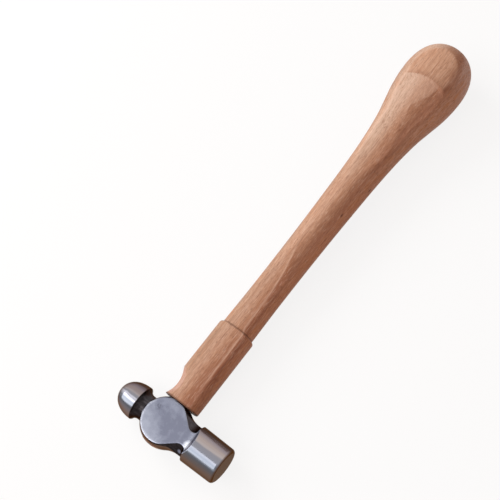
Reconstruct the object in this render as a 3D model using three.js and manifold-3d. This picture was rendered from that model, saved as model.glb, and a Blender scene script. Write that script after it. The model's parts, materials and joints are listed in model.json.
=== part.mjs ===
// Jewellers hammer: a small ball pein head on a turned beech handle.
// Millimetres, +Z up. The hammer lies on one cheek, as on a bench, and touches it
// at the ball, the poll and the sanded cheek of the bulb.
// While it is being made, X runs along the head from the ball to the poll, Y runs along
// the handle from the eye to the bulb, and Z is square to the cheeks of the head.

import * as THREE from "three";
import { mergeVertices } from "three/addons/utils/BufferGeometryUtils.js";
import Module from "manifold-3d";

// Head, turned about X
const bodyRadius = 12.5;
const bodyPollArc = 13.8;
const ballRadius = 8.9;
const ballLength = 11.7;
const ballPower = 2.2;
const ballSkirtLength = 0.3;
const ballRimEdge = 0.28;
const ballNeckRadius = 6.62;
const ballNeckLength = 0.9;
const ballSideCove = 3.6;
const bodySideCove = 1.5;
const pollRadius = 9.4;
const pollTaper = 0.3;
const pollLength = 18.75;
const pollFaceEdge = 1.6;
const pollBackEdge = 0.7;
const pollNeckStep = 1.4;
const pollNeckCove = 12;
const pollBackLength = 2.2;

// Ground surfaces of the head
const cheekHeight = 5.9;
const eyeSeatHeight = 10.9;
const tailHalfWidth = 3.7;
const tailRampRadius = 4.4;
const tailRampReach = 2.1;
const scallopRadius = 4.8;
const scallopReach = 0.55;
const scallopSlopeAngle = Math.PI / 6;

// Eye of the head: an oval waisted hole along Y
const eyeHalfLength = 5.4;
const eyeHalfWidth = 3.7;
const eyeWaistShare = 0.93;

// Handle, turned about Y
const collarRadius = 9.95;
const collarLength = 44.1;
const collarMouthEdge = 0.8;
const collarEndEdge = 1.4;
const waistRadius = 8.4;
const shankLength = 165.7;
const bulbRadius = 17.7;
const bulbEndLength = 23.1;
const bulbEndPower = 2.4;

// Sanded cheeks of the handle, measured up from its axis
const collarFlatHeight = 7.9;
const shankFlatHeight = 7.15;
const bulbFlatHeight = 15.2;
const thumbHollowHeight = 8.8;

// Rasped relief on the ball side of the collar
const reliefDepth = 2.65;
const reliefRadius = 14;
const reliefDistance = 6.8;
const reliefOffset = 2.3;

// Tenon and wedges
const tenonProud = 0.1;
const kerfDepth = 15;
const woodWedgeLength = 13.5;
const woodWedgeHead = 2.4;
const woodWedgeTip = 0.7;
const woodWedgeHalfWidth = 4.6;
const steelWedgeLength = 8;
const steelWedgeHead = 1.5;
const steelWedgeTip = 0.4;
const steelWedgeHalfWidth = 2.5;

// Clearances and overruns
const fitGap = 0.3;
const cutOverrun = 2;

// How finely the turned pieces are faceted
const headSides = 72;
const handleSides = 48;
const eyeSides = 40;
const domeSides = 64;

// Places along the head axis that follow from the sizes above.
// The body bulges by an arc of radius b whose top is at the body's radius. A cove of
// radius c that just touches that arc, and whose lowest radius is n, has its centre at the
// distance sqrt((b + c)^2 - (n + c - a)^2) from the eye, with a the arc centre's height.
function coveReach(neckRadius, coveRadius, bodyArc) {
  const arcHeight = bodyRadius - bodyArc;
  return Math.sqrt((bodyArc + coveRadius) ** 2 - (neckRadius + coveRadius - arcHeight) ** 2);
}
// How far a quarter-round of the given radius reaches along before it has risen so much
const arcRun = (radius, rise) => Math.sqrt(radius ** 2 - (radius - rise) ** 2);

const pollBackRadius = pollRadius + pollTaper;
const pollNeckRadius = pollBackRadius - pollNeckStep;
const discRadius = Math.sqrt(bodyRadius ** 2 - cheekHeight ** 2);
const ballNeckX = -coveReach(ballNeckRadius, bodySideCove, bodyRadius);
const ballCoveX = ballNeckX - ballNeckLength;
const ballCoveRise = ballRadius - ballRimEdge - ballNeckRadius;
const ballRimX = ballCoveX - arcRun(ballSideCove, ballCoveRise) - ballRimEdge;
const ballCentreX = ballRimX - ballSkirtLength;
const pollNeckX = coveReach(pollNeckRadius, pollNeckCove, bodyPollArc);
const pollBackX = pollNeckX + pollBackLength;
const pollFaceX = pollBackX + pollLength;

// Places along the handle axis
const shoulderY = eyeSeatHeight + fitGap;
const collarEndY = shoulderY + collarLength;
const bulbCentreY = collarEndY + shankLength;
const handleEndY = bulbCentreY + bulbEndLength;
const tenonEndY = -(bodyRadius + tenonProud);

// Shank from the collar to the widest place of the bulb. The first number is the share
// of the shank's length, the second how far the radius has grown from waist to bulb.
const shankSwellShares = [
  [0, 0.025], [0.15, 0], [0.34, 0.025], [0.52, 0.1], [0.645, 0.182], [0.735, 0.296],
  [0.81, 0.458], [0.865, 0.653], [0.92, 0.859], [0.965, 0.967], [1, 1],
];

// Sanded cheeks of the shank. The first number is the share of the shank's length, the
// second how far the cheek has risen from the shank's flat to clear of the round waist.
const shankFlatShares = [[0, 0], [0.19, 0], [0.255, 0.38], [0.33, 0.6], [0.56, 1]];

// Thumb hollows, in the same way, from the bottom of the hollow to the flat of the bulb
const thumbHollowShares = [[0.68, 0], [0.76, 0.12], [0.83, 0.4], [0.967, 1]];
const creaseY = collarEndY + shankLength * thumbHollowShares.at(-1)[0];

const wasm = await Module();
wasm.setup();

// Closed three.js geometry to a solid, with shared corners merged and slivers left out
function solidFrom(geometry) {
  geometry.deleteAttribute("normal");
  geometry.deleteAttribute("uv");
  const merged = mergeVertices(geometry);
  const corners = merged.index.array;
  const faces = [];
  for (let i = 0; i < corners.length; i += 3) {
    const [a, b, c] = [corners[i], corners[i + 1], corners[i + 2]];
    if (a !== b && b !== c && c !== a) faces.push(a, b, c);
  }
  return new wasm.Manifold(new wasm.Mesh({
    numProp: 3,
    vertProperties: new Float32Array(merged.attributes.position.array),
    triVerts: new Uint32Array(faces),
  }));
}

function geometryFrom(solid) {
  const mesh = solid.getMesh();
  const geometry = new THREE.BufferGeometry();
  geometry.setAttribute("position", new THREE.BufferAttribute(mesh.vertProperties, 3));
  geometry.setIndex(new THREE.BufferAttribute(mesh.triVerts, 1));
  geometry.computeVertexNormals();
  return geometry;
}

// Points of an arc, as [along, across] pairs, with both ends included
function arc(centreX, centreY, radius, from, to, steps) {
  return Array.from({ length: steps + 1 }, (_, i) => {
    const angle = from + (to - from) * i / steps;
    return [centreX + radius * Math.cos(angle), centreY + radius * Math.sin(angle)];
  });
}

// Turned solid about the Y axis from [along, radius] pairs that start and end on the axis
function turned(profile, sides) {
  const points = profile.map(([along, radius]) => new THREE.Vector2(radius, along));
  return new THREE.LatheGeometry(points, sides);
}

// Prism whose outline lies in a plane given by the directions of its two coordinates,
// centred on that plane
function prism(outline, across, up, width) {
  const shape = new THREE.Shape(outline.map(([u, v]) => new THREE.Vector2(u, v)));
  const geometry = new THREE.ExtrudeGeometry(shape, { depth: width, bevelEnabled: false });
  geometry.translate(0, 0, -width / 2);
  const out = new THREE.Vector3().crossVectors(across, up);
  geometry.applyMatrix4(new THREE.Matrix4().makeBasis(across, up, out));
  return solidFrom(geometry);
}

const alongX = new THREE.Vector3(1, 0, 0);
const alongY = new THREE.Vector3(0, 1, 0);
const alongZ = new THREE.Vector3(0, 0, 1);

// Rounded end of a turned piece, from its widest place to the axis. It is a superellipse,
// so it is fuller than an ellipse where its power is above two.
function roundEnd(centre, length, radius, power, steps) {
  return Array.from({ length: steps + 1 }, (_, i) => {
    const angle = Math.PI / 2 * i / steps;
    const across = i < steps ? radius * Math.cos(angle) ** (2 / power) : 0;
    return [centre + length * Math.sin(angle) ** (2 / power), across];
  });
}

// Outline of the head before grinding: ball, rim, cove, level neck, small cove, body with
// one arc for each side, cove, neck, poll
function headProfile() {
  const quarter = Math.PI / 2;
  const ballCoveY = ballNeckRadius + ballSideCove;
  const bodyCoveY = ballNeckRadius + bodySideCove;
  const pollCoveY = pollNeckRadius + pollNeckCove;
  const pollArcY = bodyRadius - bodyPollArc;
  const ballCoveStart = Math.PI + Math.asin((ballSideCove - ballCoveRise) / ballSideCove);
  const ballTouch = Math.atan2(bodyCoveY, ballNeckX);
  const pollTouch = Math.atan2(pollCoveY - pollArcY, pollNeckX);
  const backRadius = pollBackRadius - pollBackEdge;
  return [
    ...roundEnd(ballCentreX, -ballLength, ballRadius, ballPower, 14).reverse(),
    [ballRimX, ballRadius],
    ...arc(ballCoveX, ballCoveY, ballSideCove, ballCoveStart, Math.PI + quarter, 7),
    ...arc(ballNeckX, bodyCoveY, bodySideCove, Math.PI + quarter, Math.PI + ballTouch, 5),
    ...arc(0, 0, bodyRadius, ballTouch, quarter, 12).slice(1),
    ...arc(0, pollArcY, bodyPollArc, quarter, pollTouch, 9).slice(1),
    ...arc(pollNeckX, pollCoveY, pollNeckCove, Math.PI + pollTouch, Math.PI + quarter, 6).slice(1),
    [pollBackX - pollBackEdge, pollNeckRadius],
    ...arc(pollBackX + pollBackEdge, backRadius, pollBackEdge, Math.PI, quarter, 4),
    ...arc(pollFaceX - pollFaceEdge, pollRadius - pollFaceEdge, pollFaceEdge, quarter, 0, 4),
    [pollFaceX, 0],
  ];
}

// What the grinder takes off one cheek: a flat over the round body, which ends at the
// ball's neck, and its tail, which sweeps up into the poll
function cheekCut(side) {
  const top = cheekHeight + bodyRadius;
  const rampEnd = pollBackX + tailRampReach;
  const rampX = rampEnd - tailRampRadius;
  const outline = [
    [-discRadius, top],
    [-discRadius, cheekHeight],
    ...arc(rampX, cheekHeight + tailRampRadius, tailRampRadius, -Math.PI / 2, 0, 8),
    [rampEnd, top],
  ];
  const up = alongZ.clone().multiplyScalar(side);
  return prism(outline, alongX, up, (bodyRadius + cutOverrun) * 2);
}

// One of the four hollows between the body and the poll. It slopes down from the body,
// and its floor meets the cheek at the half width of the cheek's tail.
function scallopCut(sideY, sideZ) {
  const floor = (tailHalfWidth + cheekHeight) / Math.SQRT2;
  const top = bodyRadius + cutOverrun;
  const rise = pollBackRadius - floor;
  const endX = pollBackX + scallopReach;
  const lowX = endX - rise;
  const slopeEndX = lowX - scallopRadius * Math.sin(scallopSlopeAngle);
  const slopeEndY = floor + scallopRadius * (1 - Math.cos(scallopSlopeAngle));
  const slopeRun = (top - slopeEndY) / Math.tan(scallopSlopeAngle);
  const down = -Math.PI / 2;
  const outline = [
    [slopeEndX - slopeRun, top],
    ...arc(lowX, floor + scallopRadius, scallopRadius, down - scallopSlopeAngle, down, 5),
    ...arc(lowX, floor + rise, rise, down, 0, 6).slice(1),
    [endX, top],
  ];
  const up = new THREE.Vector3(0, sideY, sideZ).normalize();
  return prism(outline, alongX, up, top * 2);
}

// Flat round the end of the eye that the handle's shoulder faces
function eyeSeatCut() {
  const top = bodyRadius + cutOverrun;
  const outline = [[-top, eyeSeatHeight], [top, eyeSeatHeight], [top, top], [-top, top]];
  return prism(outline, alongX, alongY, top * 2);
}

// The tenon and its wedges are dressed to the round far side of the head
function dressed(solid) {
  const dome = new THREE.SphereGeometry(bodyRadius + tenonProud, domeSides, domeSides / 2);
  return solid.intersect(solidFrom(dome));
}

// Oval waisted plug along Y. A grow below zero gives the clearance of the tenon.
function eyePlug(grow, fromY, toY) {
  const halfLength = eyeHalfLength + grow;
  const halfWidth = eyeHalfWidth + grow;
  const radiusAt = (y) => {
    const flare = Math.abs(y) / eyeSeatHeight;
    return eyeHalfLength * (eyeWaistShare + (1 - eyeWaistShare) * flare) + grow;
  };
  const profile = [[fromY, 0], [fromY, radiusAt(fromY)], [0, radiusAt(0)], [toY, radiusAt(toY)], [toY, 0]];
  const geometry = turned(profile, eyeSides);
  geometry.scale(1, 1, halfWidth / halfLength);
  return solidFrom(geometry);
}

function makeHead() {
  const blank = turned(headProfile(), headSides);
  blank.rotateZ(-Math.PI / 2);
  const cuts = [
    cheekCut(1), cheekCut(-1), eyeSeatCut(),
    scallopCut(1, 1), scallopCut(1, -1), scallopCut(-1, 1), scallopCut(-1, -1),
    eyePlug(0, -bodyRadius - cutOverrun, bodyRadius),
  ];
  return cuts.reduce((head, cut) => head.subtract(cut), solidFrom(blank));
}

// Smooth curve through stations, as [along, across] pairs
function smooth(stations, steps) {
  const curve = new THREE.SplineCurve(stations.map(([u, v]) => new THREE.Vector2(u, v)));
  return curve.getPoints(steps).map((point) => [point.x, point.y]);
}

// Outline of the turned handle: mouth, collar, its rounded end, shank and bulb
function handleProfile() {
  const quarter = Math.PI / 2;
  const mouthY = shoulderY + collarMouthEdge;
  const endY = collarEndY - collarEndEdge;
  const shank = shankSwellShares.map(([alongShare, swellShare]) => [
    collarEndY + shankLength * alongShare,
    waistRadius + (bulbRadius - waistRadius) * swellShare,
  ]);
  return [
    [shoulderY, 0],
    ...arc(mouthY, collarRadius - collarMouthEdge, collarMouthEdge, Math.PI, quarter, 4),
    ...arc(endY, collarRadius - collarEndEdge, collarEndEdge, quarter, 0, 5),
    ...smooth(shank, 40),
    ...roundEnd(bulbCentreY, bulbEndLength, bulbRadius, bulbEndPower, 14).slice(1),
  ];
}

// Cheek line of part of the shank, between two heights above the axis
function cheekLine(shares, low, high) {
  return shares.map(([alongShare, riseShare]) => [
    collarEndY + shankLength * alongShare,
    low + (high - low) * riseShare,
  ]);
}

// Side view of the slab that is left between the two sanded cheeks of the handle
function slabOutline() {
  const clearHeight = waistRadius + collarEndEdge;
  const upper = [
    [shoulderY - cutOverrun, collarFlatHeight],
    [collarEndY, collarFlatHeight],
    ...cheekLine(shankFlatShares, shankFlatHeight, clearHeight),
    ...smooth(cheekLine(thumbHollowShares, thumbHollowHeight, bulbFlatHeight), 12),
    [handleEndY + cutOverrun, bulbFlatHeight],
  ];
  const lower = upper.map(([y, z]) => [y, -z]).reverse();
  return [...upper, ...lower].reverse();
}

// Relief rasped round the ball side of the collar, to clear the head. It is a ring of
// round section, set off the axis so that it runs out before the poll side.
function reliefCut() {
  const holeRadius = collarRadius - reliefDepth + reliefOffset;
  const ring = new THREE.TorusGeometry(holeRadius + reliefRadius, reliefRadius, 48, 64);
  ring.rotateX(Math.PI / 2);
  ring.translate(reliefOffset, shoulderY + reliefDistance, 0);
  return solidFrom(ring);
}

// Wedge driven along +Y from the top of the head, with its thickness along the given
// direction. A grow above zero makes the slot that holds it.
function wedge(halfWidth, head, tip, length, thickAlong, grow) {
  const deepY = tenonEndY + length + grow;
  const outY = grow > 0 ? tenonEndY - cutOverrun : tenonEndY;
  const slope = (head - tip) / length / 2;
  const outHalf = head / 2 + slope * (tenonEndY - outY) + grow;
  const tipHalf = tip / 2 + grow;
  const outline = [[outY, -outHalf], [deepY, -tipHalf], [deepY, tipHalf], [outY, outHalf]];
  return prism(outline, alongY, thickAlong, (halfWidth + grow) * 2);
}

const woodWedgeBlank = (halfWidth, grow) =>
  wedge(halfWidth, woodWedgeHead, woodWedgeTip, woodWedgeLength, alongZ, grow);
const steelWedgeBlank = (grow) =>
  wedge(steelWedgeHalfWidth, steelWedgeHead, steelWedgeTip, steelWedgeLength, alongX, grow);

function makeHandle() {
  const slab = prism(slabOutline(), alongY, alongZ, (bulbRadius + cutOverrun) * 2);
  const shaft = solidFrom(turned(handleProfile(), handleSides)).intersect(slab);
  const root = eyePlug(-fitGap, 0, shoulderY + cutOverrun);
  const tenon = dressed(eyePlug(-fitGap, tenonEndY, shoulderY)).add(root);
  return shaft.subtract(reliefCut()).add(tenon).subtract(kerfCut()).subtract(steelWedgeBlank(fitGap));
}

// Sawn kerf right across the tenon, opened by the wooden wedge
function kerfCut() {
  const half = woodWedgeTip / 2 + fitGap;
  const deepY = tenonEndY + kerfDepth;
  const outline = [[tenonEndY, -half], [deepY, -half], [deepY, half], [tenonEndY, half]];
  const sawn = prism(outline, alongY, alongZ, eyeHalfLength * 2);
  return woodWedgeBlank(eyeHalfLength, fitGap).add(sawn);
}

const makeWoodWedge = () =>
  dressed(woodWedgeBlank(woodWedgeHalfWidth, 0)).subtract(steelWedgeBlank(fitGap));
const makeSteelWedge = () => dressed(steelWedgeBlank(0));

const steel = { color: 0x9a9fa8, roughness: 0.3, metalness: 1 };
const beech = { color: 0xb98263, roughness: 0.55, metalness: 0 };
const paleWood = { color: 0xd0a983, roughness: 0.65, metalness: 0 };
const darkSteel = { color: 0x5f6165, roughness: 0.5, metalness: 1 };

function piece(name, solid, finish) {
  const mesh = new THREE.Mesh(geometryFrom(solid), new THREE.MeshStandardMaterial(finish));
  mesh.name = name;
  return mesh;
}

// The hammer lies on its lower cheek. Roll brings the smaller ball down to the level of
// the poll's back rim, and pitch then brings the edge of the bulb's flat down to both.
const restRoll = -Math.atan2(pollBackRadius - ballRadius, pollBackX - ballCentreX);
const bulbFlatHalfWidth = Math.sqrt(bulbRadius ** 2 - bulbFlatHeight ** 2);
const headDrop = pollBackRadius * Math.cos(restRoll) + pollBackX * Math.sin(restRoll);
const bulbDrop = bulbFlatHeight * Math.cos(restRoll) - bulbFlatHalfWidth * Math.sin(restRoll);
const restPitch = Math.atan2(bulbDrop - headDrop, creaseY);

const hammer = new THREE.Group();
hammer.add(
  piece("hammer_head", makeHead(), steel),
  piece("handle", makeHandle(), beech),
  piece("wood_wedge", makeWoodWedge(), paleWood),
  piece("steel_wedge", makeSteelWedge(), darkSteel),
);
hammer.rotation.set(restPitch, restRoll, 0);

// The origin is under the middle of the hammer, on the bench
const reach = new THREE.Box3().setFromObject(hammer, true);
const middle = reach.getCenter(new THREE.Vector3());
hammer.position.set(-middle.x, -middle.y, -reach.min.z);

const group = new THREE.Group();
group.add(hammer);

export default group;
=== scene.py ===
"""Looks of a jewellers hammer: ground steel ball pein head, turned beech handle, two wedges.

Every piece is worked out in the hammer's own axes, in millimetres: X along the head from
the ball to the poll, Y along the handle from the eye to the bulb, Z square to the cheeks.
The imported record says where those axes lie, and each finished mesh is turned to them.
"""

import json
import math

import bpy
import numpy as np
from mathutils import Matrix, Vector


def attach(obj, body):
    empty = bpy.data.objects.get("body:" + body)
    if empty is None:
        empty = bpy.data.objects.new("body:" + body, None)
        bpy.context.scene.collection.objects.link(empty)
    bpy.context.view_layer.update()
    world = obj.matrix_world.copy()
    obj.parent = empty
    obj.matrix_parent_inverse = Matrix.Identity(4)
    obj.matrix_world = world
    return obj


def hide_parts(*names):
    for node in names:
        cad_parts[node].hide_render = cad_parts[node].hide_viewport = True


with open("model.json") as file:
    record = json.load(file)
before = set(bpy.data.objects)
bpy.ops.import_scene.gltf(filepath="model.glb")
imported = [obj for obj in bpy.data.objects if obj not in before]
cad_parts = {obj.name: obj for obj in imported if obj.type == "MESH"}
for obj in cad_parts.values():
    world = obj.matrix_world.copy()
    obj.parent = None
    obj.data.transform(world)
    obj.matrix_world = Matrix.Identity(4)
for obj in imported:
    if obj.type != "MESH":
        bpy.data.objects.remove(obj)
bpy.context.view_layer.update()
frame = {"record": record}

MM = 0.001
QUARTER = math.pi / 2
NEAR_AXIS = 1e-4
NEAR_ZERO = 1e-6

# Head, in millimetres
BODY_RADIUS = 12.5
BODY_POLL_ARC = 13.8
BALL_RADIUS = 8.9
BALL_LENGTH = 11.7
BALL_POWER = 2.2
BALL_SKIRT_LENGTH = 0.3
BALL_RIM_EDGE = 0.28
BALL_NECK_RADIUS = 6.62
BALL_NECK_LENGTH = 0.9
BALL_SIDE_COVE = 3.6
BODY_SIDE_COVE = 1.5
POLL_RADIUS = 9.4
POLL_TAPER = 0.3
POLL_LENGTH = 18.75
POLL_FACE_EDGE = 1.6
POLL_BACK_EDGE = 0.7
POLL_NECK_STEP = 1.4
POLL_NECK_COVE = 12
POLL_BACK_LENGTH = 2.2
CHEEK_HEIGHT = 5.9
EYE_SEAT_HEIGHT = 10.9
TAIL_HALF_WIDTH = 3.7
TAIL_RAMP_RADIUS = 4.4
TAIL_RAMP_SLOPE = math.radians(57)
TAIL_RAMP_REACH = 2.1
SCALLOP_RADIUS = 4.8
SCALLOP_REACH = 0.55
SCALLOP_SLOPE = math.pi / 6
GROUND_EDGE = 0.4
RIM_ROUNDING = 0.22
DISC_WALL_SLOPE = 4
CLIMB_STEP = 0.02

# Eye
EYE_HALF_LENGTH = 5.4
EYE_HALF_WIDTH = 3.7
EYE_WAIST_SHARE = 0.93
EYE_MOUTH_CHAMFER = 0.5

# Handle
COLLAR_RADIUS = 9.95
COLLAR_LENGTH = 44.1
COLLAR_MOUTH_EDGE = 0.8
COLLAR_END_EDGE = 1.4
COLLAR_END_ANGLE = 0.06
WAIST_RADIUS = 8.4
SHANK_LENGTH = 165.7
BULB_RADIUS = 17.7
BULB_END_LENGTH = 23.1
BULB_END_POWER = 2.4
COLLAR_FLAT_HEIGHT = 7.9
SHANK_FLAT_HEIGHT = 7.15
BULB_FLAT_HEIGHT = 15.2
THUMB_HOLLOW_HEIGHT = 8.8
RELIEF_DEPTH = 2.65
RELIEF_RADIUS = 14
RELIEF_DISTANCE = 6.8
RELIEF_OFFSET = 2.3
SHOULDER_GAP = 0.3
RIDGE_ROUNDING = 0.55
CROWN_RADIUS = 42

# Thumb hollow on each cheek of the bulb: its end is an arc, and to the right of an edge the
# cheek falls away. The edge is listed as (distance along the handle, distance across), and
# the tongue is the pale end of the hollow, whose corner between arc and edge is rounded
CREASE_MIDDLE = 1.5
CREASE_ARC_RADIUS = 26
CREASE_DIP = 0.5
CREASE_BANK = 1.7
CREASE_REACH = 17
TONGUE_ROUNDING = 6
BEVEL_SLOPE = 0.13
BEVEL_EDGE = [
    (150, 12), (186, 3.5), (200, 1.3), (202.4, 2.8), (207.7, 6.1), (213, 8.2), (217, 12.5),
]

# Tenon and wedges
TENON_PROUD = 0.1
TENON_GAP = 0.05
TENON_EDGE = 0.35
WOOD_WEDGE_LENGTH = 13.5
WOOD_WEDGE_HEAD = 2.4
WOOD_WEDGE_TIP = 0.7
WOOD_WEDGE_HALF_WIDTH = 4.6
STEEL_WEDGE_LENGTH = 8
STEEL_WEDGE_HEAD = 1.5
STEEL_WEDGE_TIP = 0.4
STEEL_WEDGE_HALF_WIDTH = 2.5
WEDGE_GAP = 0.04
WEDGE_EDGE = 0.15
WEDGE_EDGE_STEPS = 3
CUT_OVERRUN = 2

# Shank from the collar to the widest place of the bulb: share of its length, and share of
# the growth from waist to bulb
SHANK_SWELL_SHARES = [
    (0, 0.025), (0.15, 0), (0.34, 0.025), (0.52, 0.1), (0.645, 0.182), (0.735, 0.296),
    (0.81, 0.458), (0.865, 0.653), (0.92, 0.859), (0.965, 0.967), (1, 1),
]
# Sanded cheeks: share of the shank's length, and share of the rise between two heights
SHANK_FLAT_SHARES = [(0, 0), (0.19, 0), (0.255, 0.38), (0.33, 0.6), (0.56, 1)]
THUMB_HOLLOW_SHARES = [(0.68, 0), (0.76, 0.12), (0.83, 0.4), (0.967, 1)]

# Grids: steps of a quarter turn between a section's corners, the angles which those corners
# keep to, and how close one comes to the next, as a share of its angle
HEAD_STEPS = (10, 14, 18, 18)
HANDLE_STEPS = (30, 30)
HEAD_CORNER_LEAST = math.radians(6)
HANDLE_CORNER_LEAST = math.radians(28)
CORNER_MOST = math.radians(78)
CORNER_SPACING = 0.8
# Rows along the stretches of the head's outline, of the handle's, and of the tenon
BALL_ROWS = 62
BALL_RIM_ROWS = 3
RIM_ROUND_ROWS = 6
BALL_COVE_ROWS = 20
BALL_NECK_ROWS = 6
BODY_COVE_ROWS = 10
BODY_ROWS = 50
POLL_COVE_ROWS = 16
POLL_NECK_ROWS = 10
POLL_RISE_ROWS = 8
POLL_BACK_EDGE_ROWS = 9
POLL_ROWS = 44
POLL_FACE_EDGE_ROWS = 18
POLL_FACE_ROWS = 18
COLLAR_MOUTH_EDGE_ROWS = 9
COLLAR_ROWS = 40
COLLAR_END_EDGE_ROWS = 12
COLLAR_FOOT_ROWS = 4
SHANK_ROWS = 170
BULB_END_ROWS = 48
TENON_FACE_ROWS = 8
TENON_EDGE_ROWS = 6
TENON_SIDE_ROWS = 24
SHOULDER_ROWS = 7
# Rows added about a place as (first, last, apart), steps of the thumb hollow's line, and
# columns of a cutter
RAMP_ROWS = (-0.8, 1, 0.12)
CREASE_ROWS = (-9, 1, 0.31)
HOLLOW_STEPS = 24
CUTTER_COLUMNS = 96
# Angles between faces past which an edge is shaded as a sharp one
GROUND_SHARP_ANGLE = math.radians(32)
WEDGE_SHARP_ANGLE = math.radians(50)

# Camera, in the hammer's axes: where it stands, a point it looks at, and a direction that
# is upright in the picture
CAMERA_PLACE = (135.16, -22.76, 464.74)
CAMERA_TARGET = (-21.29, 92.81, 0)
PICTURE_UP = (-0.5356, 0.7595, 0.3692)
CAMERA_LENS = 72.4
SENSOR_WIDTH = 36


def hammer_axes(record):
    """Rotation whose columns are the hammer's X, Y and Z, and the centre of its eye, both
    from the flat faces in the record: the cheeks lie either side of the eye's centre."""
    mounts = {mount["name"]: mount for mount in record["mounts"]}
    upper, lower = mounts["upper_cheek"], mounts["lower_cheek"]
    centre = (np.array(upper["pos_m"]) + np.array(lower["pos_m"])) / 2
    up = np.array(upper["axis"])
    along = np.array(mounts["striking_face"]["axis"])
    across = np.cross(up, along)
    across /= np.linalg.norm(across)
    return np.stack([np.cross(across, up), across, up], axis=1), centre


AXES, EYE_CENTRE = hammer_axes(frame["record"])


def to_world(points):
    """Points in the hammer's axes and millimetres, as points of the scene in metres."""
    return np.asarray(points, float) * MM @ AXES.T + EYE_CENTRE


# Curves

def eased(steps):
    """Shares from 0 to 1 that lie closer together towards both ends: (1 - cos(t)) / 2."""
    return (1 - np.cos(np.linspace(0, math.pi, steps + 1))) / 2


def arc(centre_x, centre_y, radius, start, end, steps):
    """Points of an arc from one angle to another, both ends included."""
    angle = np.linspace(start, end, steps + 1)
    return np.stack([centre_x + radius * np.cos(angle), centre_y + radius * np.sin(angle)], axis=1)


def straight(start, end, steps):
    """Points of a straight stretch, closer together towards both of its ends."""
    share = eased(steps)[:, None]
    return np.asarray(start) + share * (np.asarray(end) - np.asarray(start))


def joined(*stretches):
    """Stretches laid end to end, where each starts at the point that the last one ended at."""
    return np.concatenate([stretches[0]] + [stretch[1:] for stretch in stretches[1:]])


def fillet(before, corner, after, radius, steps):
    """Arc of the given radius that rounds a corner between two straight lines. Its centre
    lies on the line that halves the corner, radius / sin(half the corner) from it."""
    before, corner, after = (np.asarray(point, float) for point in (before, corner, after))
    to_before = (before - corner) / np.linalg.norm(before - corner)
    to_after = (after - corner) / np.linalg.norm(after - corner)
    half = math.acos(np.clip(to_before @ to_after, -1, 1)) / 2
    middle = to_before + to_after
    centre = corner + middle / np.linalg.norm(middle) * radius / math.sin(half)
    start = corner + to_before * radius / math.tan(half) - centre
    end = corner + to_after * radius / math.tan(half) - centre
    first = math.atan2(start[1], start[0])
    turn = (math.atan2(end[1], end[0]) - first + math.pi) % (2 * math.pi) - math.pi
    return arc(centre[0], centre[1], radius, first, first + turn, steps)


def through(stations, steps):
    """Smooth curve through stations, evenly stepped: a Catmull-Rom spline, whose direction
    at each station is that of the line between the two stations beside it."""
    points = np.asarray(stations, float)
    padded = np.concatenate([[2 * points[0] - points[1]], points, [2 * points[-1] - points[-2]]])
    place = np.linspace(0, len(points) - 1, steps + 1)
    span = np.minimum(place.astype(int), len(points) - 2)
    t = (place - span)[:, None]
    p0, p1, p2, p3 = (padded[span + i] for i in range(4))
    return 0.5 * (2 * p1 + (p2 - p0) * t + (2 * p0 - 5 * p1 + 4 * p2 - p3) * t ** 2
                  + (3 * p1 - p0 - 3 * p2 + p3) * t ** 3)


def soft_min(a, b, rounding):
    """The smaller of two values, with the corner where they cross rounded off inwards:
    min(a, b) - rounding / 4 * (1 - |a - b| / rounding) ** 2 while the bracket is above 0."""
    reach = np.clip(rounding - np.abs(a - b), 0, None) / rounding
    return np.minimum(a, b) - reach ** 2 * rounding / 4


def cut_into(reach, wall, rounding):
    """Distances of a surface from its axis with a wall cut into it and the edge rounded, by
    less near the axis. A wall that lies far outside counts as one at twice the distance."""
    return soft_min(reach, np.minimum(wall, reach * 2), np.minimum(rounding, reach * 0.5))


def fade(values, none, full):
    """0 up to one value, 1 from another on and a straight climb between, in either sense."""
    return np.clip((values - none) / (full - none), 0, 1)


def plateau(values, rise, fall):
    """Two fades multiplied: 1 between where both are full, 0 outside of where one is none."""
    return fade(values, *rise) * fade(values, *fall)


def bell(distance, half_width):
    """1 at no distance, falling off on both sides: exp(-(distance / half width) ** 2)."""
    return np.exp(-(distance / half_width) ** 2)


def across_at(line, y, beyond=None):
    """Distance across at places along the handle, on a line of (along, across)."""
    along, across = np.array(line, float).T
    return np.interp(y, along, across, beyond, beyond)


# Meshes

def closed_mesh(name, rings):
    """Closed surface through rings of points, an array of rows by columns by 3. The columns
    go once round, and the first and last rows are each one point on the axis."""
    rows, columns = rings.shape[:2]
    body = rings[1:-1].reshape(-1, 3)
    points = np.concatenate([rings[0, :1], body, rings[-1, :1]])
    row = np.arange(rows - 3)[:, None]
    column = np.arange(columns)[None, :]
    beside = (column + 1) % columns
    here = 1 + row * columns
    quads = np.stack([here + column, here + beside, here + columns + beside, here + columns + column],
                     axis=-1).reshape(-1, 4)
    around = np.arange(columns)
    ahead = (around + 1) % columns
    last = 1 + (rows - 3) * columns
    start_fan = np.stack([np.zeros(columns, int), 1 + ahead, 1 + around], axis=1)
    end_fan = np.stack([np.full(columns, len(points) - 1), last + around, last + ahead], axis=1)
    mesh = bpy.data.meshes.new(name)
    mesh.from_pydata(points.tolist(), [], quads.tolist() + start_fan.tolist() + end_fan.tolist())
    mesh.validate()
    return mesh


def prism_mesh(name, sections):
    """Closed prism through two rectangles of four points each, listed the same way round."""
    near, far = (np.asarray(section, float) for section in sections)
    faces = [(3, 2, 1, 0), (4, 5, 6, 7)] + [(i, (i + 1) % 4, (i + 1) % 4 + 4, i + 4) for i in range(4)]
    mesh = bpy.data.meshes.new(name)
    mesh.from_pydata(np.concatenate([near, far]).tolist(), [], faces)
    mesh.validate()
    return mesh


def mesh_points(mesh):
    """Corners of a mesh as an array of rows of three."""
    points = np.empty(len(mesh.vertices) * 3)
    mesh.vertices.foreach_get("co", points)
    return points.reshape(-1, 3)


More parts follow.
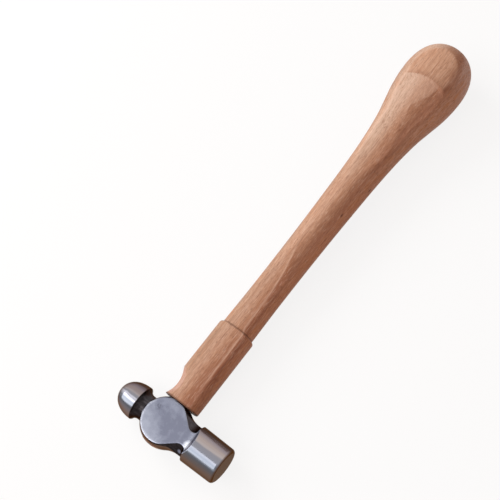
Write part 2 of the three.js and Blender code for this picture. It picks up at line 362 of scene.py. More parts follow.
def outward(mesh):
    """Turns every face of a closed mesh outwards: its signed volume has to be above zero."""
    corners = mesh_points(mesh)
    mesh.calc_loop_triangles()
    index = np.empty(len(mesh.loop_triangles) * 3, np.int32)
    mesh.loop_triangles.foreach_get("vertices", index)
    a, b, c = (corners[index.reshape(-1, 3)[:, i]] for i in range(3))
    if np.einsum("ij,ij->i", a, np.cross(b, c)).sum() < 0:
        mesh.flip_normals()


def linked(name, data):
    """Object for a mesh, a lamp or a camera, linked to the scene."""
    made = bpy.data.objects.new(name, data)
    bpy.context.scene.collection.objects.link(made)
    return made


def added(mesh):
    """Object for a closed mesh, with its faces turned outwards."""
    outward(mesh)
    return linked(mesh.name, mesh)


def cut_by(piece, cutters, operation="DIFFERENCE"):
    """Takes the cutters' shapes out of a piece, or keeps only what lies in them where the
    operation says so, applies the result and removes the cutters."""
    for cutter in cutters:
        modifier = piece.modifiers.new("cut", "BOOLEAN")
        modifier.operation = operation
        modifier.solver = "EXACT"
        modifier.object = cutter
    graph = bpy.context.evaluated_depsgraph_get()
    mesh = bpy.data.meshes.new_from_object(piece.evaluated_get(graph))
    piece.modifiers.clear()
    old = piece.data
    mesh.name = old.name
    piece.data = mesh
    bpy.data.meshes.remove(old)
    for cutter in cutters:
        bpy.data.meshes.remove(cutter.data)


def write_marks(mesh, marks):
    """Writes named values of a mesh's corners, each from 0 to 1, for its material to follow."""
    for name, values in marks.items():
        layer = mesh.attributes.new(name, "FLOAT", "POINT")
        layer.data.foreach_set("value", values.astype(np.float32))


def settled(piece, node, sharp_angle, material):
    """Turns a piece from the hammer's axes to the scene, shades it and stands it for its node."""
    mesh = piece.data
    mesh.vertices.foreach_set("co", to_world(mesh_points(mesh)).ravel())
    mesh.update()
    mesh.polygons.foreach_set("use_smooth", np.ones(len(mesh.polygons), bool))
    mesh.set_sharp_from_angle(angle=sharp_angle)
    mesh.materials.clear()
    mesh.materials.append(material)
    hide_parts(node)
    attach(piece, "root")
    return piece


# Grids

def with_rows(profile, places):
    """Outline with a point more at each of the given places along it."""
    rows = [(x, np.interp(x, profile[:, 0], profile[:, 1])) for x in places]
    where = np.searchsorted(profile[:, 0], places)
    return np.insert(profile, where, rows, axis=0)


def rows_about(place, first, last, apart):
    """Evenly spaced places about one place, from a first to a last distance from it."""
    return np.arange(place + first, place + last, apart)


def mirrored_quadrants(angles):
    """Whole turn of angles from those of the first quadrant, which run from 0 to a right
    angle along the columns: the other three quadrants mirror it."""
    second = math.pi - angles[:, ::-1][:, 1:]
    half = np.concatenate([angles, second], axis=1)
    lower = math.pi + half[:, 1:-1]
    return np.concatenate([half, lower], axis=1)


def quadrant_angles(corners, counts):
    """Angles from 0 to a right angle with a grid line on each corner. Corners are arrays with
    one angle for each row, and the counts say how many steps lie between them."""
    rows = len(corners[0])
    ends = [np.zeros(rows)] + list(corners) + [np.full(rows, QUARTER)]
    spans = []
    for start, end, count in zip(ends[:-1], ends[1:], counts):
        spans.append(start[:, None] + (end - start)[:, None] * eased(count)[:-1])
    return np.concatenate(spans + [np.full((rows, 1), QUARTER)], axis=1)


def rings_about_y(y, reach, angle):
    """Rings about the handle's axis: (reach * cos a, y, reach * sin a), a from the poll's side."""
    return np.stack([reach * np.cos(angle), np.broadcast_to(y, reach.shape), reach * np.sin(angle)],
                    axis=-1)


# Head

def cove_reach(neck_radius, cove_radius, body_arc):
    """Distance from the eye to the centre of a cove that just touches the body's arc:
    sqrt((b + c) ** 2 - (n + c - a) ** 2), where a is the height of that arc's centre."""
    arc_height = BODY_RADIUS - body_arc
    return math.sqrt((body_arc + cove_radius) ** 2 - (neck_radius + cove_radius - arc_height) ** 2)


def arc_run(radius, rise):
    """How far along a quarter arc reaches before it has risen by so much."""
    return math.sqrt(radius ** 2 - (radius - rise) ** 2)


POLL_BACK_RADIUS = POLL_RADIUS + POLL_TAPER
POLL_NECK_RADIUS = POLL_BACK_RADIUS - POLL_NECK_STEP
DISC_RADIUS = math.sqrt(BODY_RADIUS ** 2 - CHEEK_HEIGHT ** 2)
BALL_NECK_X = -cove_reach(BALL_NECK_RADIUS, BODY_SIDE_COVE, BODY_RADIUS)
BALL_COVE_X = BALL_NECK_X - BALL_NECK_LENGTH
BALL_COVE_RISE = BALL_RADIUS - BALL_RIM_EDGE - BALL_NECK_RADIUS
BALL_RIM_X = BALL_COVE_X - arc_run(BALL_SIDE_COVE, BALL_COVE_RISE) - BALL_RIM_EDGE
BALL_CENTRE_X = BALL_RIM_X - BALL_SKIRT_LENGTH
POLL_NECK_X = cove_reach(POLL_NECK_RADIUS, POLL_NECK_COVE, BODY_POLL_ARC)
POLL_BACK_X = POLL_NECK_X + POLL_BACK_LENGTH
POLL_FACE_X = POLL_BACK_X + POLL_LENGTH
RAMP_END_X = POLL_BACK_X + TAIL_RAMP_REACH
SCALLOP_FLOOR = (TAIL_HALF_WIDTH + CHEEK_HEIGHT) / math.sqrt(2)
SCALLOP_RISE = POLL_BACK_RADIUS - SCALLOP_FLOOR
SCALLOP_END_X = POLL_BACK_X + SCALLOP_REACH


def round_end(centre, length, radius, power, steps):
    """Outline of a rounded end from its widest place to the axis, on the superellipse
    (along / length) ** power + (across / radius) ** power = 1."""
    angle = np.linspace(0, QUARTER, steps + 1)
    along = centre + length * np.sin(angle) ** (2 / power)
    return np.stack([along, radius * np.maximum(np.cos(angle), 0) ** (2 / power)], axis=1)


def ball_outline():
    """Ball's half of the turned outline, as (x, radius) from the ball's tip to the body's
    widest place: ball, rim, cove, level neck, small cove, arc of the body."""
    lowest = math.pi + QUARTER
    ball_cove_y = BALL_NECK_RADIUS + BALL_SIDE_COVE
    body_cove_y = BALL_NECK_RADIUS + BODY_SIDE_COVE
    cove_start = math.pi + math.asin((BALL_SIDE_COVE - BALL_COVE_RISE) / BALL_SIDE_COVE)
    touch = math.atan2(body_cove_y, BALL_NECK_X)
    ball_cove = arc(BALL_COVE_X, ball_cove_y, BALL_SIDE_COVE, cove_start, lowest, BALL_COVE_ROWS)
    body_cove = arc(BALL_NECK_X, body_cove_y, BODY_SIDE_COVE, lowest, math.pi + touch, BODY_COVE_ROWS)
    skirt_start = (BALL_CENTRE_X, BALL_RADIUS)
    rim_round = fillet(skirt_start, (BALL_RIM_X, BALL_RADIUS), ball_cove[0], RIM_ROUNDING,
                       RIM_ROUND_ROWS)
    return joined(
        round_end(BALL_CENTRE_X, -BALL_LENGTH, BALL_RADIUS, BALL_POWER, BALL_ROWS)[::-1],
        straight(skirt_start, rim_round[0], BALL_RIM_ROWS),
        rim_round,
        straight(rim_round[-1], ball_cove[0], BALL_RIM_ROWS),
        ball_cove,
        straight(ball_cove[-1], body_cove[0], BALL_NECK_ROWS),
        body_cove,
        arc(0, 0, BODY_RADIUS, touch, QUARTER, BODY_ROWS),
    )


def poll_outline():
    """Poll's half of the turned outline, as (x, radius) from the body's widest place to the
    middle of the face: arc of the body, cove, neck, back edge, poll, rounded edge, face."""
    cove_y = POLL_NECK_RADIUS + POLL_NECK_COVE
    arc_y = BODY_RADIUS - BODY_POLL_ARC
    touch = math.atan2(cove_y - arc_y, POLL_NECK_X)
    neck_end = (POLL_BACK_X - POLL_BACK_EDGE, POLL_NECK_RADIUS)
    back = arc(POLL_BACK_X + POLL_BACK_EDGE, POLL_BACK_RADIUS - POLL_BACK_EDGE, POLL_BACK_EDGE,
               math.pi, QUARTER, POLL_BACK_EDGE_ROWS)
    edge = arc(POLL_FACE_X - POLL_FACE_EDGE, POLL_RADIUS - POLL_FACE_EDGE, POLL_FACE_EDGE,
               QUARTER, 0, POLL_FACE_EDGE_ROWS)
    return joined(
        arc(0, arc_y, BODY_POLL_ARC, QUARTER, touch, BODY_ROWS),
        arc(POLL_NECK_X, cove_y, POLL_NECK_COVE, math.pi + touch, math.pi + QUARTER, POLL_COVE_ROWS),
        straight((POLL_NECK_X, POLL_NECK_RADIUS), neck_end, POLL_NECK_ROWS),
        straight(neck_end, back[0], POLL_RISE_ROWS),
        back,
        straight(back[-1], edge[0], POLL_ROWS),
        edge,
        straight(edge[-1], (POLL_FACE_X, 0), POLL_FACE_ROWS),
    )


def head_profile():
    """Turned outline of the whole head, as (x, radius) from the tip of the ball to the middle
    of the face. Extra rows stand where the disc, the scallops and the ramps end."""
    apart = GROUND_EDGE / 8
    return with_rows(joined(ball_outline(), poll_outline()), [
        -DISC_RADIUS - 2 * apart, -DISC_RADIUS - apart, -DISC_RADIUS,
        SCALLOP_END_X - apart, SCALLOP_END_X, SCALLOP_END_X + apart,
        *rows_about(RAMP_END_X, *RAMP_ROWS),
    ])


def cheek_heights(x, y):
    """Height of the ground cheek: level over the body and its tail, then an arc that turns
    up to a slope into the poll. Left of the disc's circle it climbs out of the way."""
    along = np.maximum(x - RAMP_END_X + TAIL_RAMP_RADIUS, 0)
    arc_length = TAIL_RAMP_RADIUS * math.sin(TAIL_RAMP_SLOPE)
    on_arc = np.minimum(along, arc_length)
    ramp = TAIL_RAMP_RADIUS - np.sqrt(TAIL_RAMP_RADIUS ** 2 - on_arc ** 2)
    slope = (along - on_arc) * math.tan(TAIL_RAMP_SLOPE)
    disc_edge = -np.sqrt(np.clip(DISC_RADIUS ** 2 - y ** 2, 0, None))
    return CHEEK_HEIGHT + ramp + slope + np.maximum(disc_edge - x, 0) * DISC_WALL_SLOPE


def scallop_depths(x):
    """Distance of a scallop's floor from the axis: a slope down from the body, an arc that
    levels it out, then a quarter arc up through the back of the poll."""
    low_x = SCALLOP_END_X - SCALLOP_RISE
    arc_length = SCALLOP_RADIUS * math.sin(SCALLOP_SLOPE)
    back = np.clip(low_x - x, 0, arc_length)
    down = SCALLOP_RADIUS - np.sqrt(SCALLOP_RADIUS ** 2 - back ** 2)
    slope = np.maximum(low_x - arc_length - x, 0) * math.tan(SCALLOP_SLOPE)
    ahead = np.clip(x - low_x, 0, SCALLOP_RISE)
    up = SCALLOP_RISE - np.sqrt(SCALLOP_RISE ** 2 - ahead ** 2)
    outside = np.maximum(x - SCALLOP_END_X, 0)
    return SCALLOP_FLOOR + down + slope + up + outside * BODY_RADIUS


def head_corner_angles(radius, cheek, scallop):
    """Angles of the section's corners in the first quadrant, from the +Y side up: where the
    eye's seat ends, where the scallop starts, and where the cheek starts. Each is kept a
    little apart from the next, so that the grid's columns never cross."""
    least, most = HEAD_CORNER_LEAST, CORNER_MOST
    seat = np.arccos(np.clip(EYE_SEAT_HEIGHT / radius, 0, 1))
    round_half_width = np.sqrt(np.clip(radius ** 2 - cheek ** 2, 0, None))
    half_width = np.minimum(round_half_width, math.sqrt(2) * scallop - cheek)
    cheek_start = np.clip(np.arctan2(cheek, np.maximum(half_width, 0)), 3 * least, most)
    scallop_start = math.pi / 4 - np.arccos(np.clip(scallop / radius, 0, 1))
    scallop_start = np.clip(np.minimum(scallop_start, cheek_start * CORNER_SPACING), 2 * least, most)
    seat_end = np.minimum(np.maximum(seat, least), scallop_start * CORNER_SPACING)
    return seat_end, scallop_start, cheek_start


def head_surface(profile):
    """Rings of the head about X. Along a ray from the axis at angle a from the handle's side,
    the surface is the nearest of: the turned outline, the eye's seat at its height / cos a,
    the scallop at its depth / cos(a - 45 degrees), and the cheek at its height / sin a."""
    x, turned = profile[:, 0], np.maximum(profile[:, 1], NEAR_AXIS)
    scallop = scallop_depths(x)
    corners = head_corner_angles(turned, cheek_heights(x, 0), scallop)
    angle = mirrored_quadrants(quadrant_angles(corners, HEAD_STEPS))
    cos, sin = np.abs(np.cos(angle)), np.maximum(np.abs(np.sin(angle)), NEAR_ZERO)
    reach = np.broadcast_to(turned[:, None], angle.shape)
    walls = [
        EYE_SEAT_HEIGHT / np.maximum(np.cos(angle), NEAR_ZERO),
        scallop[:, None] * math.sqrt(2) / (cos + sin),
        cheek_heights(x[:, None], CHEEK_HEIGHT * cos / sin) / sin,
    ]
    for wall in walls:
        reach = cut_into(reach, wall, GROUND_EDGE)
    rings = np.stack([
        np.broadcast_to(x[:, None], angle.shape),
        reach * np.cos(angle),
        reach * np.sin(angle),
    ], axis=-1)
    rings[0, :, 1:] = 0
    rings[-1, :, 1:] = 0
    return rings


def eye_radius(y):
    """Half length of the oval eye at a distance along it: least at its waist."""
    flare = np.abs(y) / EYE_SEAT_HEIGHT
    return EYE_HALF_LENGTH * (EYE_WAIST_SHARE + (1 - EYE_WAIST_SHARE) * flare)


def oval_rings(y, half_length, columns):
    """Rings of an oval rod along Y with the eye's proportions."""
    angle = np.linspace(0, 2 * math.pi, columns, endpoint=False)[None, :]
    half_width = half_length * EYE_HALF_WIDTH / EYE_HALF_LENGTH
    return np.stack([
        half_length[:, None] * np.cos(angle),
        np.broadcast_to(y[:, None], (len(y), columns)),
        half_width[:, None] * np.sin(angle),
    ], axis=-1)


def eye_cutter():
    """Rod that cuts the eye, waisted in the middle and chamfered at the shoulder's mouth."""
    seat = EYE_SEAT_HEIGHT
    y = np.array([-BODY_RADIUS - CUT_OVERRUN, -seat / 2, 0, seat / 2, seat - EYE_MOUTH_CHAMFER,
                  seat, seat + CUT_OVERRUN])
    mouth = np.clip(y - seat + EYE_MOUTH_CHAMFER, 0, None)
    rings = oval_rings(y, eye_radius(y) + mouth, CUTTER_COLUMNS)
    start, end = (ring * [0, 1, 0] for ring in (rings[:1], rings[-1:]))
    return added(closed_mesh("eye_cutter", np.concatenate([start, rings, end])))


# Where the head's finishes, its painted shade and its painted highlights fade in, each as
# (none of it, all of it), in millimetres: depths below the cheek, height over a scallop's
# floor, places along the head, and distance inside the disc's rim
SATIN_DEPTHS = (0.14, 0.05)
SHADE_LINE_DEPTHS = (1.4, 0.7)
SCALLOP_HEIGHTS = (-0.18, -0.07)
BALL_COVE_START = (BALL_RIM_X, BALL_RIM_X + BALL_RIM_EDGE)
BALL_COVE_END = (-8, -10)
POLL_NECK_START = (11, POLL_NECK_X)
POLL_NECK_END = (POLL_BACK_X + POLL_BACK_EDGE, POLL_BACK_X)
RIM_HIGHLIGHT_DISTANCES = (1.1, 0.35)
RAMP_HIGHLIGHT_PLACES = (RAMP_END_X - 0.9, RAMP_END_X - 0.4)
RAMP_HIGHLIGHT = 0.7
# The painted highlight on the disc's rim lies towards the ball, where (x + slant * y) / radius is well
# below 0
RIM_HIGHLIGHT_SLANT = 0.75
RIM_HIGHLIGHT_SIDE = (-0.2, -0.7)


def mark_head(mesh):
    """Marks the satin cheeks, the dark coves with a painted shade line just below the cheeks'
    edge, and painted highlights on the disc's rim and at the top of the ramps."""
    x, y, z = mesh_points(mesh).T
    below = cheek_heights(x, y) - np.abs(z)
    climb = (cheek_heights(x, y) - cheek_heights(x - CLIMB_STEP, y)) / CLIMB_STEP
    on_disc = (x > -DISC_RADIUS) & (x < RAMP_END_X + 2 * GROUND_EDGE)
    cheek = fade(below / np.sqrt(1 + climb ** 2), *SATIN_DEPTHS) * on_disc
    diagonal = (np.abs(y) + np.abs(z)) / math.sqrt(2)
    scallop = fade(diagonal - scallop_depths(x), *SCALLOP_HEIGHTS)
    coves = plateau(x, BALL_COVE_START, BALL_COVE_END) + plateau(x, POLL_NECK_START, POLL_NECK_END)
    # Painted shade: a dark band on the body just below the cheeks' edge, kept with the dark coves
    shade_line = fade(below, *SHADE_LINE_DEPTHS) * (np.abs(x) < POLL_BACK_X)
    dark = np.clip(np.maximum(coves + scallop, shade_line), 0, 1) * (1 - cheek)
    # Painted highlights on the disc's rim towards the ball and at the top of the ramps
    rim_highlight = fade(DISC_RADIUS - np.hypot(x, y), *RIM_HIGHLIGHT_DISTANCES)
    rim_highlight = rim_highlight * fade((x + RIM_HIGHLIGHT_SLANT * y) / DISC_RADIUS, *RIM_HIGHLIGHT_SIDE)
    painted_highlight = np.maximum(rim_highlight, RAMP_HIGHLIGHT * fade(x, *RAMP_HIGHLIGHT_PLACES)) * cheek
    write_marks(mesh, {"cheek": cheek, "dark": dark, "painted_highlight": painted_highlight})


def make_head(material):
    """Steel head: the ground surface with the eye cut through it."""
    head = added(closed_mesh("head_ground_steel", head_surface(head_profile())))
    cut_by(head, [eye_cutter()])
    mark_head(head.data)
    return settled(head, "hammer_head", GROUND_SHARP_ANGLE, material)


# Handle

SHOULDER_Y = EYE_SEAT_HEIGHT + SHOULDER_GAP
COLLAR_END_Y = SHOULDER_Y + COLLAR_LENGTH
BULB_CENTRE_Y = COLLAR_END_Y + SHANK_LENGTH
HANDLE_END_Y = BULB_CENTRE_Y + BULB_END_LENGTH
TENON_END_Y = -(BODY_RADIUS + TENON_PROUD)
CREASE_Y = COLLAR_END_Y + SHANK_LENGTH * THUMB_HOLLOW_SHARES[-1][0] + CREASE_BANK / 2
CLEAR_ACROSS = 2 * BULB_RADIUS


def handle_profile():
    """Turned outline of the handle from its shoulder on, as (y, radius): mouth edge, collar,
    its rounded end, shank, bulb, and the bulb's superelliptic end. Extra rows stand about
    the end of the thumb hollow."""
    mouth_y, end_y = SHOULDER_Y + COLLAR_MOUTH_EDGE, COLLAR_END_Y - COLLAR_END_EDGE
    mouth = arc(mouth_y, COLLAR_RADIUS - COLLAR_MOUTH_EDGE, COLLAR_MOUTH_EDGE, math.pi, QUARTER,
                COLLAR_MOUTH_EDGE_ROWS)
    end = arc(end_y, COLLAR_RADIUS - COLLAR_END_EDGE, COLLAR_END_EDGE, QUARTER, COLLAR_END_ANGLE,
              COLLAR_END_EDGE_ROWS)
    shank = through([
        (COLLAR_END_Y + SHANK_LENGTH * along, WAIST_RADIUS + (BULB_RADIUS - WAIST_RADIUS) * swell)
        for along, swell in SHANK_SWELL_SHARES
    ], SHANK_ROWS)
    profile = joined(
        mouth,
        straight(mouth[-1], end[0], COLLAR_ROWS),
        end,
        straight(end[-1], shank[0], COLLAR_FOOT_ROWS),
        shank,
        round_end(BULB_CENTRE_Y, BULB_END_LENGTH, BULB_RADIUS, BULB_END_POWER, BULB_END_ROWS),
    )
    return with_rows(profile, rows_about(CREASE_Y, *CREASE_ROWS))


def cheek_line(shares, low, high):
    """Stations of a sanded cheek along the shank, between two heights above the axis."""
    return [(COLLAR_END_Y + SHANK_LENGTH * along, low + (high - low) * rise) for along, rise in shares]


def flat_heights(y):
    """Height of the handle's sanded cheeks above its axis, at distances along it."""
    clear = WAIST_RADIUS + COLLAR_END_EDGE
    hollow = cheek_line(THUMB_HOLLOW_SHARES, THUMB_HOLLOW_HEIGHT, BULB_FLAT_HEIGHT)
    line = np.concatenate([
        cheek_line(SHANK_FLAT_SHARES, SHANK_FLAT_HEIGHT, clear),
        through(hollow, HOLLOW_STEPS),
        [(HANDLE_END_Y + CUT_OVERRUN, BULB_FLAT_HEIGHT)],
    ])
    return np.where(y < COLLAR_END_Y, COLLAR_FLAT_HEIGHT, np.interp(y, line[:, 0], line[:, 1]))


def crease_line(x):
    """Where the thumb hollow ends along the handle: an arc, CREASE_Y - (x - m) ** 2 / (2 r)."""
    return CREASE_Y - (x - CREASE_MIDDLE) ** 2 / (2 * CREASE_ARC_RADIUS)


def sanded_heights(y, x):
    """Height of the sanded surface over a place on the handle: the cheek, a little crowned
    across by x ** 2 / (2 * radius), the dip that banks up at the hollow's end, and the
    bevel that falls away to the right of its edge."""
    crown = x ** 2 / (2 * CROWN_RADIUS)
    behind = crease_line(x) - y
    dip = CREASE_DIP * np.clip(behind / CREASE_BANK, 0, 1) * np.clip(1 - behind / CREASE_REACH, 0, 1)
    bevel = BEVEL_SLOPE * np.maximum(x - across_at(BEVEL_EDGE, y, CLEAR_ACROSS), 0)
    return flat_heights(y) - crown - dip - bevel


def relief_reach(y, angle):
    """How far from the axis the rasped relief leaves the wood, at angles from +X. The rasp
    leaves a round hole that is set off towards the poll, widest away from its middle."""
    along = np.clip(np.abs(y - SHOULDER_Y - RELIEF_DISTANCE), 0, RELIEF_RADIUS)
    hole = COLLAR_RADIUS - RELIEF_DEPTH + RELIEF_OFFSET
    hole = hole + RELIEF_RADIUS - np.sqrt(RELIEF_RADIUS ** 2 - along ** 2)
    hole = hole[:, None]
    side = RELIEF_OFFSET * np.sin(angle)
    return RELIEF_OFFSET * np.cos(angle) + np.sqrt(hole ** 2 - side ** 2)


def handle_rings():
    """Rings of the handle about Y. Along a ray at angle a from +X the surface is the nearest
    of: the turned outline, the sanded cheek at its height / sin a, and the relief."""
    profile = handle_profile()
    y, turned = profile[:, 0], np.maximum(profile[:, 1], NEAR_AXIS)
    flat = flat_heights(y)
    corner = np.clip(np.arcsin(np.clip(flat / turned, 0, 1)), HANDLE_CORNER_LEAST, CORNER_MOST)
    angle = mirrored_quadrants(quadrant_angles([corner], HANDLE_STEPS))
    sin = np.maximum(np.abs(np.sin(angle)), NEAR_ZERO)
    across = np.minimum(flat[:, None] / sin, turned[:, None]) * np.cos(angle)
    reach = cut_into(turned[:, None], sanded_heights(y[:, None], across) / sin, RIDGE_ROUNDING)
    reach = cut_into(reach, relief_reach(y, angle), RIDGE_ROUNDING)
    rings = rings_about_y(y[:, None], reach, angle)
    rings[-1, :, [0, 2]] = 0
    return rings, angle[0]


def dome_height(reach):
    """Where the tenon's dressed end lies, at distances from the handle's axis: on a ball
    about the eye's centre, y = -sqrt(end ** 2 - reach ** 2)."""
    return -np.sqrt(TENON_END_Y ** 2 - reach ** 2)


def tenon_rings(angle):
    """Rings of the tenon, from the middle of its domed end to the shoulder, with the same
    columns as the handle's first ring. The oval's radius along a ray at angle a is that of
    an ellipse, 1 / sqrt(cos(a) ** 2 + (sin(a) / width share) ** 2)."""
    width_share = EYE_HALF_WIDTH / EYE_HALF_LENGTH
    oval = 1 / np.sqrt(np.cos(angle) ** 2 + (np.sin(angle) / width_share) ** 2)
    turn = np.linspace(0, QUARTER, TENON_EDGE_ROWS)[:, None]
    side_y = np.linspace(-BODY_RADIUS + TENON_EDGE, SHOULDER_Y, TENON_SIDE_ROWS)
    side = (eye_radius(side_y) - TENON_GAP)[:, None] * oval
    flat = np.linspace(NEAR_AXIS, 1, TENON_FACE_ROWS)[:, None] * (side[0] - TENON_EDGE)
    edge = side[0] - TENON_EDGE + TENON_EDGE * np.sin(turn)
    edge_y = dome_height(side[0]) + TENON_EDGE * (1 - np.cos(turn))
    down = np.linspace(0, 1, TENON_SIDE_ROWS)[:, None]
    wall_y = edge_y[-1] + down * (SHOULDER_Y - edge_y[-1])
    reach = np.concatenate([flat, edge[1:-1], side])
    y = np.concatenate([dome_height(flat), edge_y[1:-1], wall_y])
    rings = rings_about_y(y, reach, angle)
    rings[0, :, [0, 2]] = 0
    return rings


def shoulder_rings(tenon_ring, mouth_ring, rows):
    """Rings across the flat shoulder between the tenon and the handle's mouth."""
    share = np.linspace(0, 1, rows + 2)[1:-1, None, None]
    return tenon_ring + share * (mouth_ring - tenon_ring)


def wedge_sections(half_width, head, tip, length, thin_axis, grow, overrun):
    """The two end rectangles of a wedge along Y, thick at the tenon's end, thin at its tip.
    It can be grown on every side and run past the tenon's end, to cut with."""
    near_y, far_y = TENON_END_Y - overrun, TENON_END_Y + length + grow
    slope = (head - tip) / length / 2
    near_half, far_half = head / 2 + slope * overrun + grow, tip / 2 + grow
    width = half_width + grow
    sections = []
    for y, thick in ((near_y, near_half), (far_y, far_half)):
        u, w = (width, thick) if thin_axis == "z" else (thick, width)
        sections.append([(-u, y, -w), (u, y, -w), (u, y, w), (-u, y, w)])
    return sections


def wood_wedge_sections(half_width, grow, overrun):
    """End rectangles of the wooden wedge, which lies along the head, or of its kerf."""
    return wedge_sections(half_width, WOOD_WEDGE_HEAD, WOOD_WEDGE_TIP, WOOD_WEDGE_LENGTH, "z",
                          grow, overrun)


def steel_wedge_sections(grow, overrun):
    """End rectangles of the steel wedge, which lies across the wooden one, or of its slot."""
    return wedge_sections(STEEL_WEDGE_HALF_WIDTH, STEEL_WEDGE_HEAD, STEEL_WEDGE_TIP,
                          STEEL_WEDGE_LENGTH, "x", grow, overrun)


# Dark streaks beside the bulb's bevel: the first one's line as (distance along the handle,
# distance across), where it fades in and out, and each streak's offset from it, half width
# and strength
STREAK_LINE = [
    (152, 4.8), (169.4, 6.0), (176.5, 6.2), (187.9, 5.9), (198.9, 8.1), (210.6, 10.5),
    (221.3, 10.1), (233.6, 7.2),
]
STREAK_START, STREAK_END = (152, 182), (233.6, 227.6)
STREAKS = [(0.6, 1.3, 1), (2.5, 0.45, 0.6), (3.6, 0.4, 0.4)]

# Ridge on the poll's side of the cheek along the collar and the shank, listed like the
# streak. A painted highlight makes the wood pale just before it, and painted shade makes it
# darkest just past it, on the flank
RIDGE_LINE = [(18, 5.9), (54, 5.3), (58, 4.0), (80, 3.3), (92.6, 1.9), (105.5, -0.6), (114, -2)]
RIDGE_START, RIDGE_END = (18, 30), (114, 98)
RIDGE_OFFSET = 0.4
RIDGE_HALF_WIDTH = 0.45
RIDGE_HIGHLIGHT = 0.3
FLANK_SHADE_START, FLANK_SHADE_END = (-0.2, 0.25), (3.6, 1.2)

# Painted highlight along the ridge on the ball's side of the bulb's cheek: places along the
# handle, distance from the corner, and how pale it is
BULB_RIDGE_START, BULB_RIDGE_END = (162, 176), (218, 210)
BULB_RIDGE_DISTANCES = (0.65, 0.3)
BULB_RIDGE_HIGHLIGHT = 0.35

# Where the wood's other marks fade in: the sanded cheek by the depth below it, the rasped
# relief by the height over it, the end facet and the crease by the distance past the
# hollow's end, and the tongue by the distance inside the hollow and the place along it
FLAT_DEPTHS = (0.3, 0.06)
RELIEF_HEIGHTS = (-0.25, -0.06)
FACET_DISTANCES = (-0.1, 0.5)
CREASE_DISTANCES = (-0.1, 0.4)
CREASE_HALF_WIDTH = 2.4
TONGUE_DISTANCES = (-0.3, 0.4)
TONGUE_PLACES = (188, 203)


def streak_shares(x, y):
    """How dark the long streaks make the wood at places across and along the handle."""
    middle = across_at(STREAK_LINE, y)
    streak = np.zeros(len(x))
    for offset, half_width, strength in STREAKS:
        streak = np.maximum(streak, strength * bell(x - middle - offset, half_width))
    return streak * plateau(y, STREAK_START, STREAK_END)


def ridge_light_and_shade(x, y, corner):
    """How pale the painted highlights along the two ridges make the wood, from the distance to
    the cheek's corner on the ball's side of the bulb and to the ridge's line on the poll's side
    of the shank, and how far the painted shade on the flank past that line reaches."""
    bulb_ridge = (x < 0) * plateau(y, BULB_RIDGE_START, BULB_RIDGE_END)
    bulb_ridge = BULB_RIDGE_HIGHLIGHT * fade(corner, *BULB_RIDGE_DISTANCES) * bulb_ridge
    past_ridge = x - across_at(RIDGE_LINE, y)
    on_shank = plateau(y, RIDGE_START, RIDGE_END)
    ridge = RIDGE_HIGHLIGHT * bell(past_ridge + RIDGE_OFFSET, RIDGE_HALF_WIDTH) * on_shank
    shade = plateau(past_ridge, FLANK_SHADE_START, FLANK_SHADE_END) * on_shank
    return np.maximum(bulb_ridge, ridge), shade


def mark_handle(mesh):
    """Marks the flat facet at the bulb's end, the tongue of the thumb hollow and the painted shade
    of its crease, the painted highlights along the ridges and the painted shade of the flank,
    the relief, and the long dark streaks."""
    x, y, z = mesh_points(mesh).T
    reach = np.hypot(x, z)
    below_flat = sanded_heights(y, x) - np.abs(z)
    from_turned = np.interp(y, *handle_profile().T) - reach
    ridge, shade = ridge_light_and_shade(x, y, np.abs(below_flat) + np.abs(from_turned))
    on_flat = fade(below_flat, *FLAT_DEPTHS)
    past_crease = y - crease_line(x)
    in_tongue = soft_min(-past_crease, across_at(BEVEL_EDGE, y) - x, TONGUE_ROUNDING)
    relief = relief_reach(y, np.arctan2(z, x)[:, None])[:, 0]
    write_marks(mesh, {
        "end_facet": on_flat * fade(past_crease, *FACET_DISTANCES),
        "tongue": on_flat * fade(y, *TONGUE_PLACES) * fade(in_tongue, *TONGUE_DISTANCES),
        "crease": on_flat * fade(past_crease, *CREASE_DISTANCES) * bell(past_crease, CREASE_HALF_WIDTH),
        "ridge": ridge,
        "flank_shade": shade,
        "relief": fade(reach - relief, *RELIEF_HEIGHTS) * (y > SHOULDER_Y),
        "streak": streak_shares(x, y) * (z > 0),
    })


def make_handle(material):
    """Beech handle with its tenon, kerf and the slot of the steel wedge."""
    rings, angle = handle_rings()
    tenon = tenon_rings(angle)
    shoulder = shoulder_rings(tenon[-1], rings[0], SHOULDER_ROWS)
    handle = added(closed_mesh("handle_beech", np.concatenate([tenon, shoulder, rings])))
    kerf = prism_mesh("kerf_cutter", wood_wedge_sections(EYE_HALF_LENGTH, WEDGE_GAP, CUT_OVERRUN))
    slot = prism_mesh("slot_cutter", steel_wedge_sections(WEDGE_GAP, CUT_OVERRUN))
    cut_by(handle, [added(kerf), added(slot)])
    mark_handle(handle.data)
    return settled(handle, "handle", GROUND_SHARP_ANGLE, material)


def dome_cutter():
    """Ball about the eye's centre that the wedges' ends are dressed to."""
    angle = np.linspace(0, 2 * math.pi, CUTTER_COLUMNS, endpoint=False)
    tilt = np.linspace(0, math.pi, CUTTER_COLUMNS // 2 + 1)[:, None]
    rings = -TENON_END_Y * np.stack([
        np.cos(tilt) * np.ones_like(angle),
        np.sin(tilt) * np.cos(angle),
        np.sin(tilt) * np.sin(angle),
    ], axis=-1)
    return added(closed_mesh("dome_cutter", rings))


